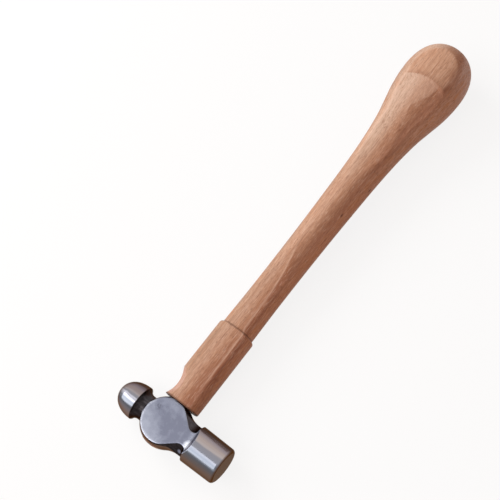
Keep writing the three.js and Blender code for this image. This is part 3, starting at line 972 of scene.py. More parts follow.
def make_wedges(wood, steel):
    """Wooden wedge across the tenon and the small steel wedge through it."""
    wooden = added(prism_mesh("wedge_beech", wood_wedge_sections(WOOD_WEDGE_HALF_WIDTH, 0, 0)))
    slot = added(prism_mesh("wedge_slot_cutter", steel_wedge_sections(WEDGE_GAP, CUT_OVERRUN)))
    cut_by(wooden, [slot])
    stamped = added(prism_mesh("wedge_stamped_steel", steel_wedge_sections(0, 0)))
    for piece in (wooden, stamped):
        cut_by(piece, [dome_cutter()], "INTERSECT")
        bevel = piece.modifiers.new("broken edges", "BEVEL")
        bevel.width = WEDGE_EDGE * MM
        bevel.segments = WEDGE_EDGE_STEPS
    settled(wooden, "wood_wedge", WEDGE_SHARP_ANGLE, wood)
    settled(stamped, "steel_wedge", WEDGE_SHARP_ANGLE, steel)
    return wooden, stamped


# Materials

def node(tree, kind, inputs=None, **settings):
    """Shader node with its settings, whose inputs are values or other nodes' outputs."""
    made = tree.nodes.new("ShaderNode" + kind)
    for name, value in settings.items():
        setattr(made, name, value)
    for key, value in (inputs or {}).items():
        if isinstance(value, bpy.types.NodeSocket):
            tree.links.new(value, made.inputs[key])
        else:
            made.inputs[key].default_value = value
    return made


def new_material(name):
    """Material with an empty node tree but for its output, and a shader joined to it."""
    material = bpy.data.materials.new(name)
    material.use_nodes = True
    tree = material.node_tree
    tree.nodes.clear()
    shader = node(tree, "BsdfPrincipled")
    output = node(tree, "OutputMaterial")
    tree.links.new(shader.outputs[0], output.inputs["Surface"])
    return material, tree, shader


def dress(tree, shader, colour, rough, height, bump):
    """Gives a shader its colour, its roughness and a bump that follows a height, the bump as
    (strength, millimetres)."""
    strength, depth = bump
    tree.links.new(colour, shader.inputs["Base Color"])
    tree.links.new(rough, shader.inputs["Roughness"])
    relief = node(tree, "Bump", {"Strength": strength, "Distance": depth * MM, "Height": height})
    tree.links.new(relief.outputs[0], shader.inputs["Normal"])


def rgb(red, green, blue):
    """Colour with full opacity."""
    return (red, green, blue, 1.0)


def attribute(tree, name):
    """A value that is written on the corners of the mesh."""
    return node(tree, "Attribute", attribute_name=name).outputs["Fac"]


def hammer_millimetres(tree):
    """Place in the hammer's axes and millimetres, from the object's coordinates."""
    place = node(tree, "TexCoord").outputs["Object"]
    turn = Matrix(AXES.tolist()).to_euler()
    return node(tree, "Mapping", {
        "Vector": place, "Location": tuple(EYE_CENTRE), "Rotation": tuple(turn), "Scale": (MM, MM, MM),
    }, vector_type="TEXTURE").outputs[0]


def parts(tree, place):
    """The three parts of a place."""
    return tuple(node(tree, "SeparateXYZ", {0: place}).outputs)


def stretched(tree, place, scale):
    """A place scaled along the three axes, so that a pattern on it is finer or longer."""
    return node(tree, "VectorMath", {0: place, 1: scale}, operation="MULTIPLY").outputs[0]


def noise(tree, place, fineness, detail, roughness):
    """Random pattern from 0 to 1, with its fineness per millimetre along the three axes."""
    return node(tree, "TexNoise", {
        "Vector": stretched(tree, place, fineness), "Scale": 1.0, "Detail": detail,
        "Roughness": roughness,
    }).outputs["Fac"]


def maths(tree, operation, a, b=0.0):
    """Result of a named operation on one or two values."""
    return node(tree, "Math", {0: a, 1: b}, operation=operation).outputs[0]


def product(tree, a, b):
    """Two values multiplied."""
    return maths(tree, "MULTIPLY", a, b)


def between(tree, value, low, high, to_low=0.0, to_high=1.0):
    """A value carried from one range to another and kept inside it."""
    return node(tree, "MapRange", {
        "Value": value, "From Min": low, "From Max": high, "To Min": to_low, "To Max": to_high,
    }).outputs[0]


def band(tree, value, rise, fall):
    """1 between the end of a rise and the end of a fall of a value, and 0 outside of both."""
    return product(tree, between(tree, value, *rise), between(tree, value, *fall))


def blend(tree, share, first, second, how="MIX"):
    """Two colours mixed by a share."""
    mix = node(tree, "Mix", {0: share, 6: first, 7: second}, data_type="RGBA", blend_type=how)
    return mix.outputs[2]


def tinted(tree, share, colour, tint):
    """A colour multiplied by a tint, by a share."""
    return blend(tree, share, colour, tint, "MULTIPLY")


def colour_by_angle(tree, angle, colours):
    """Colour for an angle between two right angles, along stops of (degrees, colour)."""
    made = node(tree, "ValToRGB", {0: between(tree, angle, -QUARTER, QUARTER)})
    elements = made.color_ramp.elements
    while len(elements) < len(colours):
        elements.new(1.0)
    for element, (degrees, colour) in zip(elements, colours):
        element.position = (degrees + 90) / 180
        element.color = rgb(*colour)
    return made.outputs[0]


def side_angle(tree, across, upright):
    """Angle of a direction from the upright one, the same above and below the middle."""
    return maths(tree, "ARCTAN2", across, maths(tree, "ABSOLUTE", upright))


def facing_along(tree, axis):
    """How much the surface faces along one of the hammer's axes, from -1 to 1."""
    normal = node(tree, "TexCoord").outputs["Normal"]
    dot = node(tree, "VectorMath", {0: normal, 1: tuple(AXES[:, axis])}, operation="DOT_PRODUCT")
    return dot.outputs["Value"]


def near_place(tree, place, middle, inner, outer):
    """1 within the inner distance of a place, 0 beyond the outer one."""
    away = node(tree, "VectorMath", {0: place, 1: middle}, operation="DISTANCE").outputs["Value"]
    return between(tree, away, inner, outer, 1.0, 0.0)


# Steel

SATIN_STEEL = rgb(0.20, 0.208, 0.27)
SATIN_STEEL_PALE = rgb(0.36, 0.375, 0.45)
# Painted highlight on the disc's rim and at the top of the ramps
HIGHLIGHT_STEEL = rgb(0.58, 0.60, 0.68)
# Painted highlight on the ramp, and a small darker spot on the disc
RAMP_HIGHLIGHT_STEEL = rgb(0.85, 0.87, 0.94)
DARK_SPOT_STEEL = rgb(0.12, 0.125, 0.16)
# Painted reflections: brown on the striking face, grey at the ball's tip
FACE_REFLECTION_BROWN = rgb(0.09, 0.048, 0.031)
TIP_REFLECTION_GREY = rgb(0.19, 0.165, 0.165)
DARK_STEEL = rgb(0.028, 0.024, 0.026)
DARK_STEEL_PALE = rgb(0.10, 0.088, 0.094)
# Painted shade in the coves by the ball's rim and on the side away from the handle
COVE_SHADE = rgb(0.5, 0.47, 0.46)
# Painted shade on the ball towards the handle, cooler painted light on its far flank, and a painted
# highlight along its top
BALL_SHADE = rgb(0.70, 0.68, 0.71)
BALL_FLANK_LIGHT = rgb(1.3, 1.42, 1.6)
BALL_TOP_HIGHLIGHT = rgb(0.62, 0.61, 0.69)
EDGE_TINT = rgb(0.5, 0.42, 0.37)

# Colour of the polished steel round the head's axis, by the angle in degrees from square to
# the cheek towards the handle: painted reflections, pale on top, with dark and brown bands
# down the flanks
FLANK_REFLECTION_COLOURS = [
    (-90, (0.15, 0.10, 0.08)), (-55, (0.155, 0.10, 0.077)), (-37, (0.11, 0.10, 0.105)),
    (-30, (0.105, 0.11, 0.13)), (-25, (0.20, 0.215, 0.25)), (-17, (0.155, 0.17, 0.205)),
    (-5, (0.27, 0.27, 0.31)), (7, (0.28, 0.27, 0.30)), (13, (0.45, 0.39, 0.38)),
    (24, (0.41, 0.335, 0.31)), (36, (0.30, 0.25, 0.265)), (52, (0.085, 0.058, 0.05)),
    (66, (0.08, 0.048, 0.038)), (90, (0.12, 0.08, 0.065)),
]

# Patterns on the steel: fineness per millimetre along the three axes, detail, roughness
FLANK_WANDER = ((0.05, 0.5, 0.5), 3.0, 0.6)
SATIN_MOTTLE = ((0.3, 0.3, 0.3), 5.0, 0.66)
SATIN_SPECKS = ((1.6, 1.6, 1.6), 2.0, 0.6)
COVE_FILING = ((0.1, 1.3, 1.3), 2.0, 0.5)
POLISH_GRAIN = ((0.35, 5.0, 5.0), 4.0, 0.6)
STEEL_PITS = ((3.0, 3.0, 3.0), 4.0, 0.65)

# Ranges of the steel's finishes and painted light: the value at which each is absent and the
# one at which it is full, and where there are four numbers, how much of it there is at
# either. On the polished steel the painted reflections follow the place along the head, the
# angle round it in radians, and how much the surface faces along it, and the noise makes
# that angle wander
WANDER_ANGLES = (0.3, 0.7, -0.05, 0.05)
ON_BALL = (-11.0, -15.0)
BALL_SHADE_START, BALL_SHADE_END = (0.1, 0.32), (0.95, 0.7)
BALL_FLANK_ANGLES = (-0.55, -0.75)
BALL_TOP_START, BALL_TOP_END = (-0.33, 0.04), (0.07, 0.0)
TIP_FACING = (-0.55, -0.95)
FACE_FACING = (0.35, 0.85)

# On the satin they follow places along the head, along the handle and across both, which
# give painted light, then the mottle, and the specks
SATIN_SLANT = 1.1
PAINTED_LIGHT_ON_SLANT = (0.0, -14.0)
PAINTED_LIGHT_BY_HANDLE = (3.0, 10.0, 0.0, 0.4)
PAINTED_LIGHT_ON_TAIL = (13.5, 17.0, 0.0, 0.6)
PALE_BY_MOTTLE = (0.3, 0.7, -0.3, 0.34)
HIGHLIGHT_BY_SPECKS = (0.35, 0.6, 0.15, 0.8)

# In the coves they follow the filing marks, and places along the handle and the head, which give
# painted light and painted shade
COVE_PALE_BY_FILING = (0.4, 0.8, 0.1, 0.8)
COVE_PAINTED_LIGHT_BY_HANDLE = (2.0, 5.0, 0.0, 0.3)
COVE_SHADE_BY_RIM = (BALL_RIM_X + 3.4, BALL_RIM_X + 1.2)
COVE_SHADE_OPPOSITE = (0.0, -3.0)

# Roughness by the patterns and by the place along the handle, and how deep the marks are
POLISHED_ROUGHNESS = (0.3, 0.7, 0.12, 0.2)
SATIN_ROUGHNESS = (0.3, 0.7, 0.34, 0.42)
ROUGHER_BY_HANDLE = (4.5, 7.5, 0.0, 0.12)
ROUGHER_IN_COVES = 0.14
GRAIN_DEPTH = 0.4
STEEL_BUMP = (0.08, 0.1)

# Spots on the satin: a painted highlight on the brightest part of the ramp, and a small darker spot on
# the disc.
# Each has its middle, its inner and outer distance, how it follows the specks, its colour
SATIN_SPOTS = [
    ((16.4, -2.4, CHEEK_HEIGHT + 1.5), (1.3, 2.9), (0.3, 0.5, 0.6, 1.0), RAMP_HIGHLIGHT_STEEL),
    ((-6.3, 3.8, CHEEK_HEIGHT), (0.3, 2.2), (0.42, 0.62), DARK_SPOT_STEEL),
]
# Painted highlight, in the satin colour, on a small facet where the lower scallop ends
FACET_HIGHLIGHT_PLACE = (14.4, -6.9, 3.2)
FACET_HIGHLIGHT_REACH = (0.5, 1.3)


def painted_reflection_colour(tree, place):
    """Colour of the polished steel from the direction that its surface faces, painted as
    reflections. The ball has painted shade towards the handle, cooler painted light on the
    other flank, a painted highlight on top and a grey painted reflection at its tip, and the
    striking face a brown painted reflection."""
    along, across, upright = (facing_along(tree, axis) for axis in range(3))
    wander = between(tree, noise(tree, place, *FLANK_WANDER), *WANDER_ANGLES)
    angle = maths(tree, "ADD", side_angle(tree, across, upright), wander)
    colour = colour_by_angle(tree, angle, FLANK_REFLECTION_COLOURS)
    on_ball = between(tree, parts(tree, place)[0], *ON_BALL)
    shaded = product(tree, on_ball, band(tree, angle, BALL_SHADE_START, BALL_SHADE_END))
    colour = tinted(tree, shaded, colour, BALL_SHADE)
    flank_light = product(tree, on_ball, between(tree, angle, *BALL_FLANK_ANGLES))
    colour = tinted(tree, flank_light, colour, BALL_FLANK_LIGHT)
    top = product(tree, on_ball, band(tree, angle, BALL_TOP_START, BALL_TOP_END))
    colour = blend(tree, top, colour, BALL_TOP_HIGHLIGHT)
    tip = product(tree, on_ball, between(tree, along, *TIP_FACING))
    colour = blend(tree, tip, colour, TIP_REFLECTION_GREY)
    return blend(tree, between(tree, along, *FACE_FACING), colour, FACE_REFLECTION_BROWN)


def satin_colour(tree, place, mottle):
    """Colour of the ground cheeks: mottled blue-grey, with painted light making it paler towards
    the ball, next to the handle and on the tail, painted highlights on the rim and the ramp, and
    a small darker spot."""
    x, y, _ = parts(tree, place)
    slant = maths(tree, "ADD", x, product(tree, y, SATIN_SLANT))
    # painted light: paler towards the ball, next to the handle and on the tail, plus the mottle
    pale = maths(tree, "MAXIMUM", between(tree, y, *PAINTED_LIGHT_BY_HANDLE), between(tree, x, *PAINTED_LIGHT_ON_TAIL))
    pale = maths(tree, "MAXIMUM", between(tree, slant, *PAINTED_LIGHT_ON_SLANT), pale)
    pale = maths(tree, "ADD", pale, between(tree, mottle, *PALE_BY_MOTTLE))
    satin = blend(tree, pale, SATIN_STEEL, SATIN_STEEL_PALE)
    specks = noise(tree, place, *SATIN_SPECKS)
    # painted highlights on the rim and the ramp's top, broken up by the specks
    painted_highlight = product(tree, attribute(tree, "painted_highlight"), between(tree, specks, *HIGHLIGHT_BY_SPECKS))
    satin = blend(tree, painted_highlight, satin, HIGHLIGHT_STEEL)
    # a painted highlight on the ramp and a darker spot on the disc
    for middle, reach, by_specks, colour in SATIN_SPOTS:
        spot = near_place(tree, place, middle, *reach)
        satin = blend(tree, product(tree, spot, between(tree, specks, *by_specks)), satin, colour)
    return satin


def cove_colour(tree, place):
    """Colour of the unpolished coves: dark, with paler filing marks, painted light on the side
    towards the handle, painted shade by the ball's rim and on the other side, and a painted
    highlight on a small facet."""
    x, y, _ = parts(tree, place)
    filing = noise(tree, place, *COVE_FILING)
    cove = blend(tree, between(tree, filing, *COVE_PALE_BY_FILING), DARK_STEEL, DARK_STEEL_PALE)
    # painted light on the side towards the handle
    cove = blend(tree, between(tree, y, *COVE_PAINTED_LIGHT_BY_HANDLE), cove, DARK_STEEL_PALE)
    # painted shade by the ball's rim and on the side away from the handle
    by_rim = between(tree, x, *COVE_SHADE_BY_RIM)
    shaded = maths(tree, "MAXIMUM", by_rim, between(tree, y, *COVE_SHADE_OPPOSITE))
    cove = tinted(tree, shaded, cove, COVE_SHADE)
    # painted highlight on a small facet where the lower scallop ends
    return blend(tree, near_place(tree, place, FACET_HIGHLIGHT_PLACE, *FACET_HIGHLIGHT_REACH), cove, SATIN_STEEL)


def steel_material():
    """Head: satin ground cheeks, polished ball and poll whose painted reflections turn brown
    towards their sides, and dark coves left from the forge. Coves and the side towards the
    handle are rougher."""
    material, tree, shader = new_material("ground steel")
    place = hammer_millimetres(tree)
    cheek, dark = attribute(tree, "cheek"), attribute(tree, "dark")
    mottle = noise(tree, place, *SATIN_MOTTLE)
    # The dark mark holds the coves and the painted shade below the cheeks' edge
    colour = blend(tree, dark, painted_reflection_colour(tree, place), cove_colour(tree, place))
    colour = blend(tree, cheek, colour, satin_colour(tree, place, mottle))
    grain = noise(tree, place, *POLISH_GRAIN)
    polished_rough = between(tree, grain, *POLISHED_ROUGHNESS)
    satin_rough = between(tree, mottle, *SATIN_ROUGHNESS)
    rough = node(tree, "Mix", {0: cheek, 2: polished_rough, 3: satin_rough}, data_type="FLOAT")
    by_handle = between(tree, parts(tree, place)[1], *ROUGHER_BY_HANDLE)
    rougher = maths(tree, "MAXIMUM", product(tree, dark, ROUGHER_IN_COVES), by_handle)
    rough = maths(tree, "ADD", rough.outputs[0], rougher)
    pits = noise(tree, place, *STEEL_PITS)
    height = maths(tree, "ADD", product(tree, grain, GRAIN_DEPTH), pits)
    dress(tree, shader, colour, rough, height, STEEL_BUMP)
    shader.inputs["Metallic"].default_value = 1.0
    shader.inputs["Specular Tint"].default_value = EDGE_TINT
    return material


# Beech

# Painted sheen along the ridge on the ball's side of the bulb
BEECH_SHEEN = rgb(0.66, 0.475, 0.36)
BEECH_END = rgb(0.58, 0.345, 0.23)
BEECH_RELIEF = rgb(0.50, 0.315, 0.25)
BEECH_ORANGE = rgb(0.54, 0.25, 0.125)
BEECH_BROWN = rgb(0.27, 0.12, 0.072)
# Dark flecks and knots, also used for the painted shade at the mouth and the collar's foot
BEECH_FLECK_AND_SHADE = rgb(0.14, 0.065, 0.042)
BEECH_LIGHT = rgb(0.74, 0.54, 0.43)
# Painted light, a pale grey-pink, at the end of the bulb's far flank
BULB_END_LIGHT = rgb(0.66, 0.47, 0.40)
BEECH_BUTT = rgb(0.50, 0.315, 0.225)
# Painted shade on the collar towards the poll, and on the flank past the right ridge
COLLAR_SHADE = rgb(0.88, 0.83, 0.82)
FLANK_SHADE = rgb(0.72, 0.62, 0.57)
# Painted light, paler and bluer, on the bulb's far flank
BULB_FLANK_LIGHT = rgb(1.08, 1.25, 1.42)

# Colour of the wood round the handle's axis, by the angle in degrees from square to the
# cheek towards the poll, partly its tone and partly painted light and shade: palest left of
# the middle, darkest short of the right ridge
BEECH_TONE_AND_LIGHT_COLOURS = [
    (-70, (0.36, 0.235, 0.165)), (-53, (0.385, 0.25, 0.175)), (-38, (0.50, 0.31, 0.213)),
    (-12, (0.545, 0.335, 0.235)), (5, (0.50, 0.28, 0.18)), (29, (0.415, 0.20, 0.12)),
    (44, (0.475, 0.23, 0.145)), (60, (0.57, 0.285, 0.172)), (85, (0.53, 0.265, 0.16)),
]

# Patterns in the wood: fineness per millimetre along the three axes, detail, roughness
TONE_DRIFT = ((0.12, 0.015, 0.12), 3.0, 0.55)
RING_WANDER = ((0.09, 0.012, 0.09), 3.0, 0.5)
GRAIN_STREAKS = ((1.5, 0.03, 1.5), 4.0, 0.6)
WARM_PATCHES = ((0.9, 0.09, 0.9), 2.0, 0.5)
GRAIN_DASHES = ((2.4, 0.22, 2.4), 3.0, 0.6)
STREAK_GRAIN = ((3.0, 0.04, 3.0), 3.0, 0.6)
WOOD_FLECKS = ((3.0, 0.55, 3.0), 1.0, 0.4)
WOOD_PORES = ((5.0, 0.3, 5.0), 2.0, 0.5)

# Ranges of the broad colours, as for the steel: the drift's angles, places along the
# handle, angles round it in radians, and how much the surface faces along it
DRIFT_ANGLES = (0.3, 0.7, -0.12, 0.12)
ON_BULB = (145, 178)
SHEEN_ANGLE = math.radians(-31)
SHEEN_REACH = (math.radians(34), math.radians(7), 0.0, 0.85)
BULB_FLANK_ANGLES = (math.radians(46), math.radians(57))
COLLAR_SHADE_ANGLES = (math.radians(-14), math.radians(18))
COLLAR_SHADE_PLACES = (60, 32)
BULB_END_ANGLES = (0.58, 0.84)
BULB_END_PLACES = (217, 231, 0.0, 0.95)
BUTT_FACING = (0.75, 0.95)

# Growth rings: how many to a millimetre across and square to the cheek, how far they
# wander, where in each ring its line is darkest, and how dark that is
RINGS_ACROSS, RINGS_UPRIGHT = 0.36, 0.22
RING_WANDERING = 5.0
RING_LINE_START, RING_LINE_END = (0.5, 0.96), (1.0, 0.96)
RING_DARKNESS = 0.2

# Ranges of the patterns: where each is brown, where it is light, and the warm patches,
# which are strongest down the flanks
STREAKS_BROWN, STREAKS_LIGHT = (0.5, 0.72, 0.0, 0.4), (0.46, 0.28, 0.0, 0.25)
DASHES_BROWN, DASHES_LIGHT = (0.52, 0.7, 0.0, 0.5), (0.46, 0.3, 0.0, 0.4)
WARM_BY_PATTERN = (0.48, 0.64)
WARM_BY_ANGLE = (0.6, 1.1, 0.15, 0.75)
FLECKS_DARK = (0.6, 0.72, 0.0, 0.4)
FLECKS_DEEP = (0.6, 0.72)
FLECK_DEPTH = 0.6
STREAK_BY_GRAIN = (0.25, 0.6, 0.25, 0.8)
BEECH_ROUGHNESS = (0.3, 0.7, 0.58, 0.44)
BEECH_BUMP = (0.22, 0.1)
BEECH_SPECULAR = 0.12

# Painted shade at the mouth by the place along the handle, and at the collar's foot by the
# distance from it, and how much the tongue and the painted shade of the crease show
TONGUE_PALENESS = 0.22
CREASE_SHADE = 0.3
MOUTH_SHADE = (SHOULDER_Y + 0.9, SHOULDER_Y + 0.3, 0.0, 0.75)
FOOT_Y = COLLAR_END_Y + 0.1
FOOT_SHADE = (0.8, 0.1, 0.0, 0.5)

# Pin knots: middle and darkness of each, how they are drawn out along the handle, and their
# inner and outer distance
KNOTS = [((6.9, 132.3, 5.9), 0.75), ((9.4, 152.5, 2.5), 0.8), ((-2.2, 150.0, 9.0), 0.35)]
KNOT_SQUEEZE = (1.0, 0.45, 1.0)
KNOT_REACH = (0.25, 0.7)


def beech_tone_and_painted_light(tree, place):
    """Broad colour of the wood by the angle round the handle, partly its tone and partly painted
    light and shade. The bulb has a painted sheen along a ridge on the ball's side, and painted
    light on its far flank and at its end, the collar has painted shade towards the poll, the
    flank past the right ridge has painted shade, and the end facet, the butt and the relief
    have colours of their own."""
    x, y, z = parts(tree, place)
    drift = between(tree, noise(tree, place, *TONE_DRIFT), *DRIFT_ANGLES)
    angle = maths(tree, "ADD", side_angle(tree, x, z), drift)
    # partly the wood's tone, partly painted light and shade
    colour = colour_by_angle(tree, angle, BEECH_TONE_AND_LIGHT_COLOURS)
    on_bulb = between(tree, y, *ON_BULB)
    # painted sheen along the bulb's ridge on the ball's side
    aside = maths(tree, "ABSOLUTE", maths(tree, "SUBTRACT", angle, SHEEN_ANGLE))
    ridge = product(tree, on_bulb, between(tree, aside, *SHEEN_REACH))
    colour = blend(tree, ridge, colour, BEECH_SHEEN)
    # painted light on the bulb's far flank
    flank = product(tree, on_bulb, between(tree, angle, *BULB_FLANK_ANGLES))
    colour = tinted(tree, flank, colour, BULB_FLANK_LIGHT)
    # painted shade on the collar towards the poll
    on_collar = between(tree, y, *COLLAR_SHADE_PLACES)
    collar_shaded = product(tree, between(tree, angle, *COLLAR_SHADE_ANGLES), on_collar)
    colour = tinted(tree, collar_shaded, colour, COLLAR_SHADE)
    # painted shade on the flank past the right ridge
    colour = tinted(tree, attribute(tree, "flank_shade"), colour, FLANK_SHADE)
    # painted light at the bulb's end on its far flank
    on_end = between(tree, y, *BULB_END_PLACES)
    end = product(tree, on_end, between(tree, angle, *BULB_END_ANGLES))
    colour = blend(tree, end, colour, BULB_END_LIGHT)
    colour = blend(tree, attribute(tree, "end_facet"), colour, BEECH_END)
    butt = between(tree, facing_along(tree, 1), *BUTT_FACING)
    colour = blend(tree, butt, colour, BEECH_BUTT)
    return blend(tree, attribute(tree, "relief"), colour, BEECH_RELIEF)


def two_toned(tree, colour, pattern, brown, light):
    """Wood with a pattern laid over it, brown at one end of its range, light at the other."""
    colour = blend(tree, between(tree, pattern, *brown), colour, BEECH_BROWN)
    return blend(tree, between(tree, pattern, *light), colour, BEECH_LIGHT)


def beech_grain(tree, place, colour):
    """Lays the grain over the broad colour: growth rings, long streaks, warm patches that
    are strongest down the flanks, and short dashes darker and paler than the wood."""
    x, _, z = parts(tree, place)
    wander = product(tree, noise(tree, place, *RING_WANDER), RING_WANDERING)
    slant = maths(tree, "ADD", product(tree, x, RINGS_ACROSS), product(tree, z, RINGS_UPRIGHT))
    ring = maths(tree, "FRACT", maths(tree, "ADD", slant, wander))
    ring_line = product(tree, band(tree, ring, RING_LINE_START, RING_LINE_END), RING_DARKNESS)
    colour = blend(tree, ring_line, colour, BEECH_BROWN)
    colour = two_toned(tree, colour, noise(tree, place, *GRAIN_STREAKS), STREAKS_BROWN, STREAKS_LIGHT)
    aside = maths(tree, "ABSOLUTE", side_angle(tree, x, z))
    patches = between(tree, noise(tree, place, *WARM_PATCHES), *WARM_BY_PATTERN)
    warm = product(tree, patches, between(tree, aside, *WARM_BY_ANGLE))
    colour = blend(tree, warm, colour, BEECH_ORANGE)
    return two_toned(tree, colour, noise(tree, place, *GRAIN_DASHES), DASHES_BROWN, DASHES_LIGHT)


def beech_marks_and_painted_light(tree, place, colour):
    """Pales the wood with painted highlights along the ridges and pales it on the tongue of the
    hollow, darkens it with painted shade in the crease, at the mouth and at the foot of the
    collar, and darkens it in the long streaks and in the knots."""
    # painted highlights along the ridges
    colour = blend(tree, attribute(tree, "ridge"), colour, BEECH_LIGHT)
    tongue = product(tree, attribute(tree, "tongue"), TONGUE_PALENESS)
    colour = blend(tree, tongue, colour, BEECH_LIGHT)
    # painted shade in the crease
    crease = product(tree, attribute(tree, "crease"), CREASE_SHADE)
    colour = blend(tree, crease, colour, BEECH_BROWN)
    y = parts(tree, place)[1]
    # painted shade at the mouth and at the collar's foot
    from_foot = maths(tree, "ABSOLUTE", maths(tree, "SUBTRACT", y, FOOT_Y))
    at_foot = between(tree, from_foot, *FOOT_SHADE)
    mouth_and_foot_shade = maths(tree, "MAXIMUM", between(tree, y, *MOUTH_SHADE), at_foot)
    colour = blend(tree, mouth_and_foot_shade, colour, BEECH_FLECK_AND_SHADE)
    grain = noise(tree, place, *STREAK_GRAIN)
    streak = product(tree, attribute(tree, "streak"), between(tree, grain, *STREAK_BY_GRAIN))
    colour = blend(tree, streak, colour, BEECH_BROWN)
    squeezed = stretched(tree, place, KNOT_SQUEEZE)
    for middle, darkness in KNOTS:
        middle = tuple(a * b for a, b in zip(middle, KNOT_SQUEEZE))
        spot = near_place(tree, squeezed, middle, *KNOT_REACH)
        colour = blend(tree, product(tree, spot, darkness), colour, BEECH_FLECK_AND_SHADE)
    return colour


def beech_material():
    """Handle: pinkish beech with fine lengthwise grain, growth rings and short dark flecks."""
    material, tree, shader = new_material("beech")
    place = hammer_millimetres(tree)
    colour = beech_grain(tree, place, beech_tone_and_painted_light(tree, place))
    flecks = noise(tree, place, *WOOD_FLECKS)
    colour = blend(tree, between(tree, flecks, *FLECKS_DARK), colour, BEECH_FLECK_AND_SHADE)
    colour = beech_marks_and_painted_light(tree, place, colour)
    pores = noise(tree, place, *WOOD_PORES)
    pits = product(tree, between(tree, flecks, *FLECKS_DEEP), FLECK_DEPTH)
    height = maths(tree, "SUBTRACT", pores, pits)
    dress(tree, shader, colour, between(tree, pores, *BEECH_ROUGHNESS), height, BEECH_BUMP)
    shader.inputs["Specular IOR Level"].default_value = BEECH_SPECULAR
    return material


# Wedges' finishes: paler sawn wood with its grain along it, and dull, browned steel. Each
# has a pattern, two colours, and the ranges over which colour and roughness follow it
WEDGE_WOOD = dict(
    pattern=((3.0, 0.2, 3.0), 4.0, 0.6),
    colours=(rgb(0.66, 0.44, 0.28), rgb(0.40, 0.22, 0.12)),
    colour_range=(0.35, 0.7),
    rough_range=(0.3, 0.7, 0.75, 0.6),
    bump=(0.5, 0.1),
    metallic=0.0,
)
WEDGE_STEEL = dict(
    pattern=((0.9, 0.9, 0.9), 4.0, 0.65),
    colours=(rgb(0.30, 0.29, 0.29), rgb(0.17, 0.12, 0.09)),
    colour_range=(0.4, 0.7),
    rough_range=(0.3, 0.7, 0.38, 0.6),
    bump=(0.3, 0.08),
    metallic=1.0,
)


def wedge_material(name, pattern, colours, colour_range, rough_range, bump, metallic):
    """Wedge in two colours that follow one pattern, as its roughness and its bump do."""
    material, tree, shader = new_material(name)
    marks = noise(tree, hammer_millimetres(tree), *pattern)
    colour = blend(tree, between(tree, marks, *colour_range), *colours)
    dress(tree, shader, colour, between(tree, marks, *rough_range), marks, bump)
    shader.inputs["Metallic"].default_value = metallic
    return material


# Studio

WHITE = rgb(1, 1, 1)
FLOOR_SIZE = 6.0
FLOOR_WHITE_SHARE = 0.85
FLOOR_ROUGHNESS = 0.9
FLOOR_COLOUR = rgb(0.92, 0.92, 0.92)
BOUNCE_COLOUR = rgb(0.68, 0.50, 0.42)
FILL_COLOUR = rgb(1.0, 0.77, 0.67)
FILL_LEVEL = 0.4
KEY_LEVEL = 0.65
KEY_SIZE = 0.6
KEY_DISTANCE = 0.95
KEY_DIRECTION = (-0.82, 0.1, 0.56)
STRIP_RADIANCE = 2.3
STRIP_LENGTH = 1.4
STRIP_WIDTH = 0.6
STRIP_DISTANCE = 0.9
STRIP_DIRECTION = (-0.6, -0.48, 0.64)
STRIP_ALONG = (-0.83, 0.2, -0.71)


def seen_directly(tree):
    """1 for rays from the camera and for mirror and glass rays, otherwise 0."""
    rays = node(tree, "LightPath").outputs
    camera_or_mirror = maths(tree, "MAXIMUM", rays["Is Camera Ray"], rays["Is Glossy Ray"])
    return maths(tree, "MAXIMUM", camera_or_mirror, rays["Is Transmission Ray"])


def make_floor():
    """Pale floor that lies under the hammer, nearly white to the camera, with its shadow."""
    half = FLOOR_SIZE / 2
    mesh = bpy.data.meshes.new("studio_floor")
    corners = [(-half, -half, 0), (half, -half, 0), (half, half, 0), (-half, half, 0)]
    mesh.from_pydata(corners, [], [(0, 1, 2, 3)])
    material, tree, shader = new_material("pale floor")
    seen = seen_directly(tree)
    tree.links.new(blend(tree, seen, BOUNCE_COLOUR, FLOOR_COLOUR), shader.inputs["Base Color"])
    shader.inputs["Roughness"].default_value = FLOOR_ROUGHNESS
    shader.inputs["Specular IOR Level"].default_value = 0.0
    white = node(tree, "Emission", {"Color": WHITE, "Strength": 1.0})
    share = product(tree, seen, FLOOR_WHITE_SHARE)
    mix = node(tree, "MixShader", {0: share, 1: shader.outputs[0], 2: white.outputs[0]})
    output = next(n for n in tree.nodes if n.type == "OUTPUT_MATERIAL")
    tree.links.new(mix.outputs[0], output.inputs["Surface"])
    mesh.materials.append(material)
    floor = linked("studio_floor", mesh)


def make_world():
    """White surroundings for the camera and for mirror rays, softer as a fill light."""
    world = bpy.data.worlds.new("studio")
    bpy.context.scene.world = world
    world.use_nodes = True
    tree = world.node_tree
    background = tree.nodes["Background"]
    seen = seen_directly(tree)
    tree.links.new(blend(tree, seen, FILL_COLOUR, WHITE), background.inputs["Color"])
    strength = between(tree, seen, 0, 1, FILL_LEVEL, 1.0)
    tree.links.new(strength, background.inputs["Strength"])


def added_lamp(name, target, direction, distance):
    """Area lamp that stands in a direction from a target, both in the hammer's axes, and
    faces it."""
    light = linked(name, bpy.data.lights.new(name, "AREA"))
    middle = Vector(to_world(target).tolist())
    away = Vector((AXES @ np.array(direction)).tolist()).normalized()
    light.location = middle + away * distance
    light.rotation_euler = (middle - light.location).to_track_quat("-Z", "Y").to_euler()
    return light, away


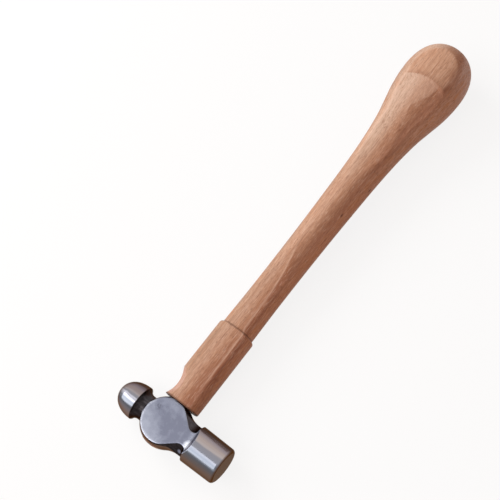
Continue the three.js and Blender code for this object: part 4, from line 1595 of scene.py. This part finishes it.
def make_key_light():
    """Large soft light on the ball's side of the hammer, for the wood: polished steel doesn't
    mirror it. Its power gives the named level on a surface that faces it, from
    level = power / (pi * distance) ** 2."""
    light, _ = added_lamp("key", (0, HANDLE_END_Y / 2, 0), KEY_DIRECTION, KEY_DISTANCE)
    light.data.shape = "DISK"
    light.data.size = KEY_SIZE
    light.data.energy = KEY_LEVEL * (math.pi * KEY_DISTANCE) ** 2
    light.visible_glossy = False


def make_strip_light():
    """Long softbox that the ball and the poll mirror as a bright streak along them. A lamp's
    radiance is power / (pi * area)."""
    light, away = added_lamp("strip", (0, 0, 0), STRIP_DIRECTION, STRIP_DISTANCE)
    along = Vector((AXES @ np.array(STRIP_ALONG)).tolist())
    along = (along - away * along.dot(away)).normalized()
    turn = Matrix((along, away.cross(along), away)).transposed()
    light.rotation_euler = turn.to_euler()
    light.data.shape = "RECTANGLE"
    light.data.size = STRIP_LENGTH
    light.data.size_y = STRIP_WIDTH
    light.data.energy = STRIP_RADIANCE * math.pi * STRIP_LENGTH * STRIP_WIDTH


def make_camera():
    """Camera at the photograph's viewing angle, given in the hammer's axes."""
    place, target = to_world(CAMERA_PLACE), to_world(CAMERA_TARGET)
    back = place - target
    back /= np.linalg.norm(back)
    right = np.cross(AXES @ np.array(PICTURE_UP), back)
    right /= np.linalg.norm(right)
    up = np.cross(back, right)
    data = bpy.data.cameras.new("camera")
    data.sensor_width = SENSOR_WIDTH
    data.lens = CAMERA_LENS
    data.clip_end = 2 * FLOOR_SIZE
    camera = linked("camera", data)
    matrix = np.eye(4)
    matrix[:3, :] = np.stack([right, up, back, place], axis=1)
    camera.matrix_world = Matrix(matrix.tolist())
    bpy.context.scene.camera = camera


make_camera()
make_world()
make_floor()
make_key_light()
make_strip_light()

head = make_head(steel_material())
handle = make_handle(beech_material())
wood_wedge, steel_wedge = make_wedges(
    wedge_material("wedge beech", **WEDGE_WOOD),
    wedge_material("wedge steel", **WEDGE_STEEL),
)

bpy.context.scene.view_settings.view_transform = "Standard"
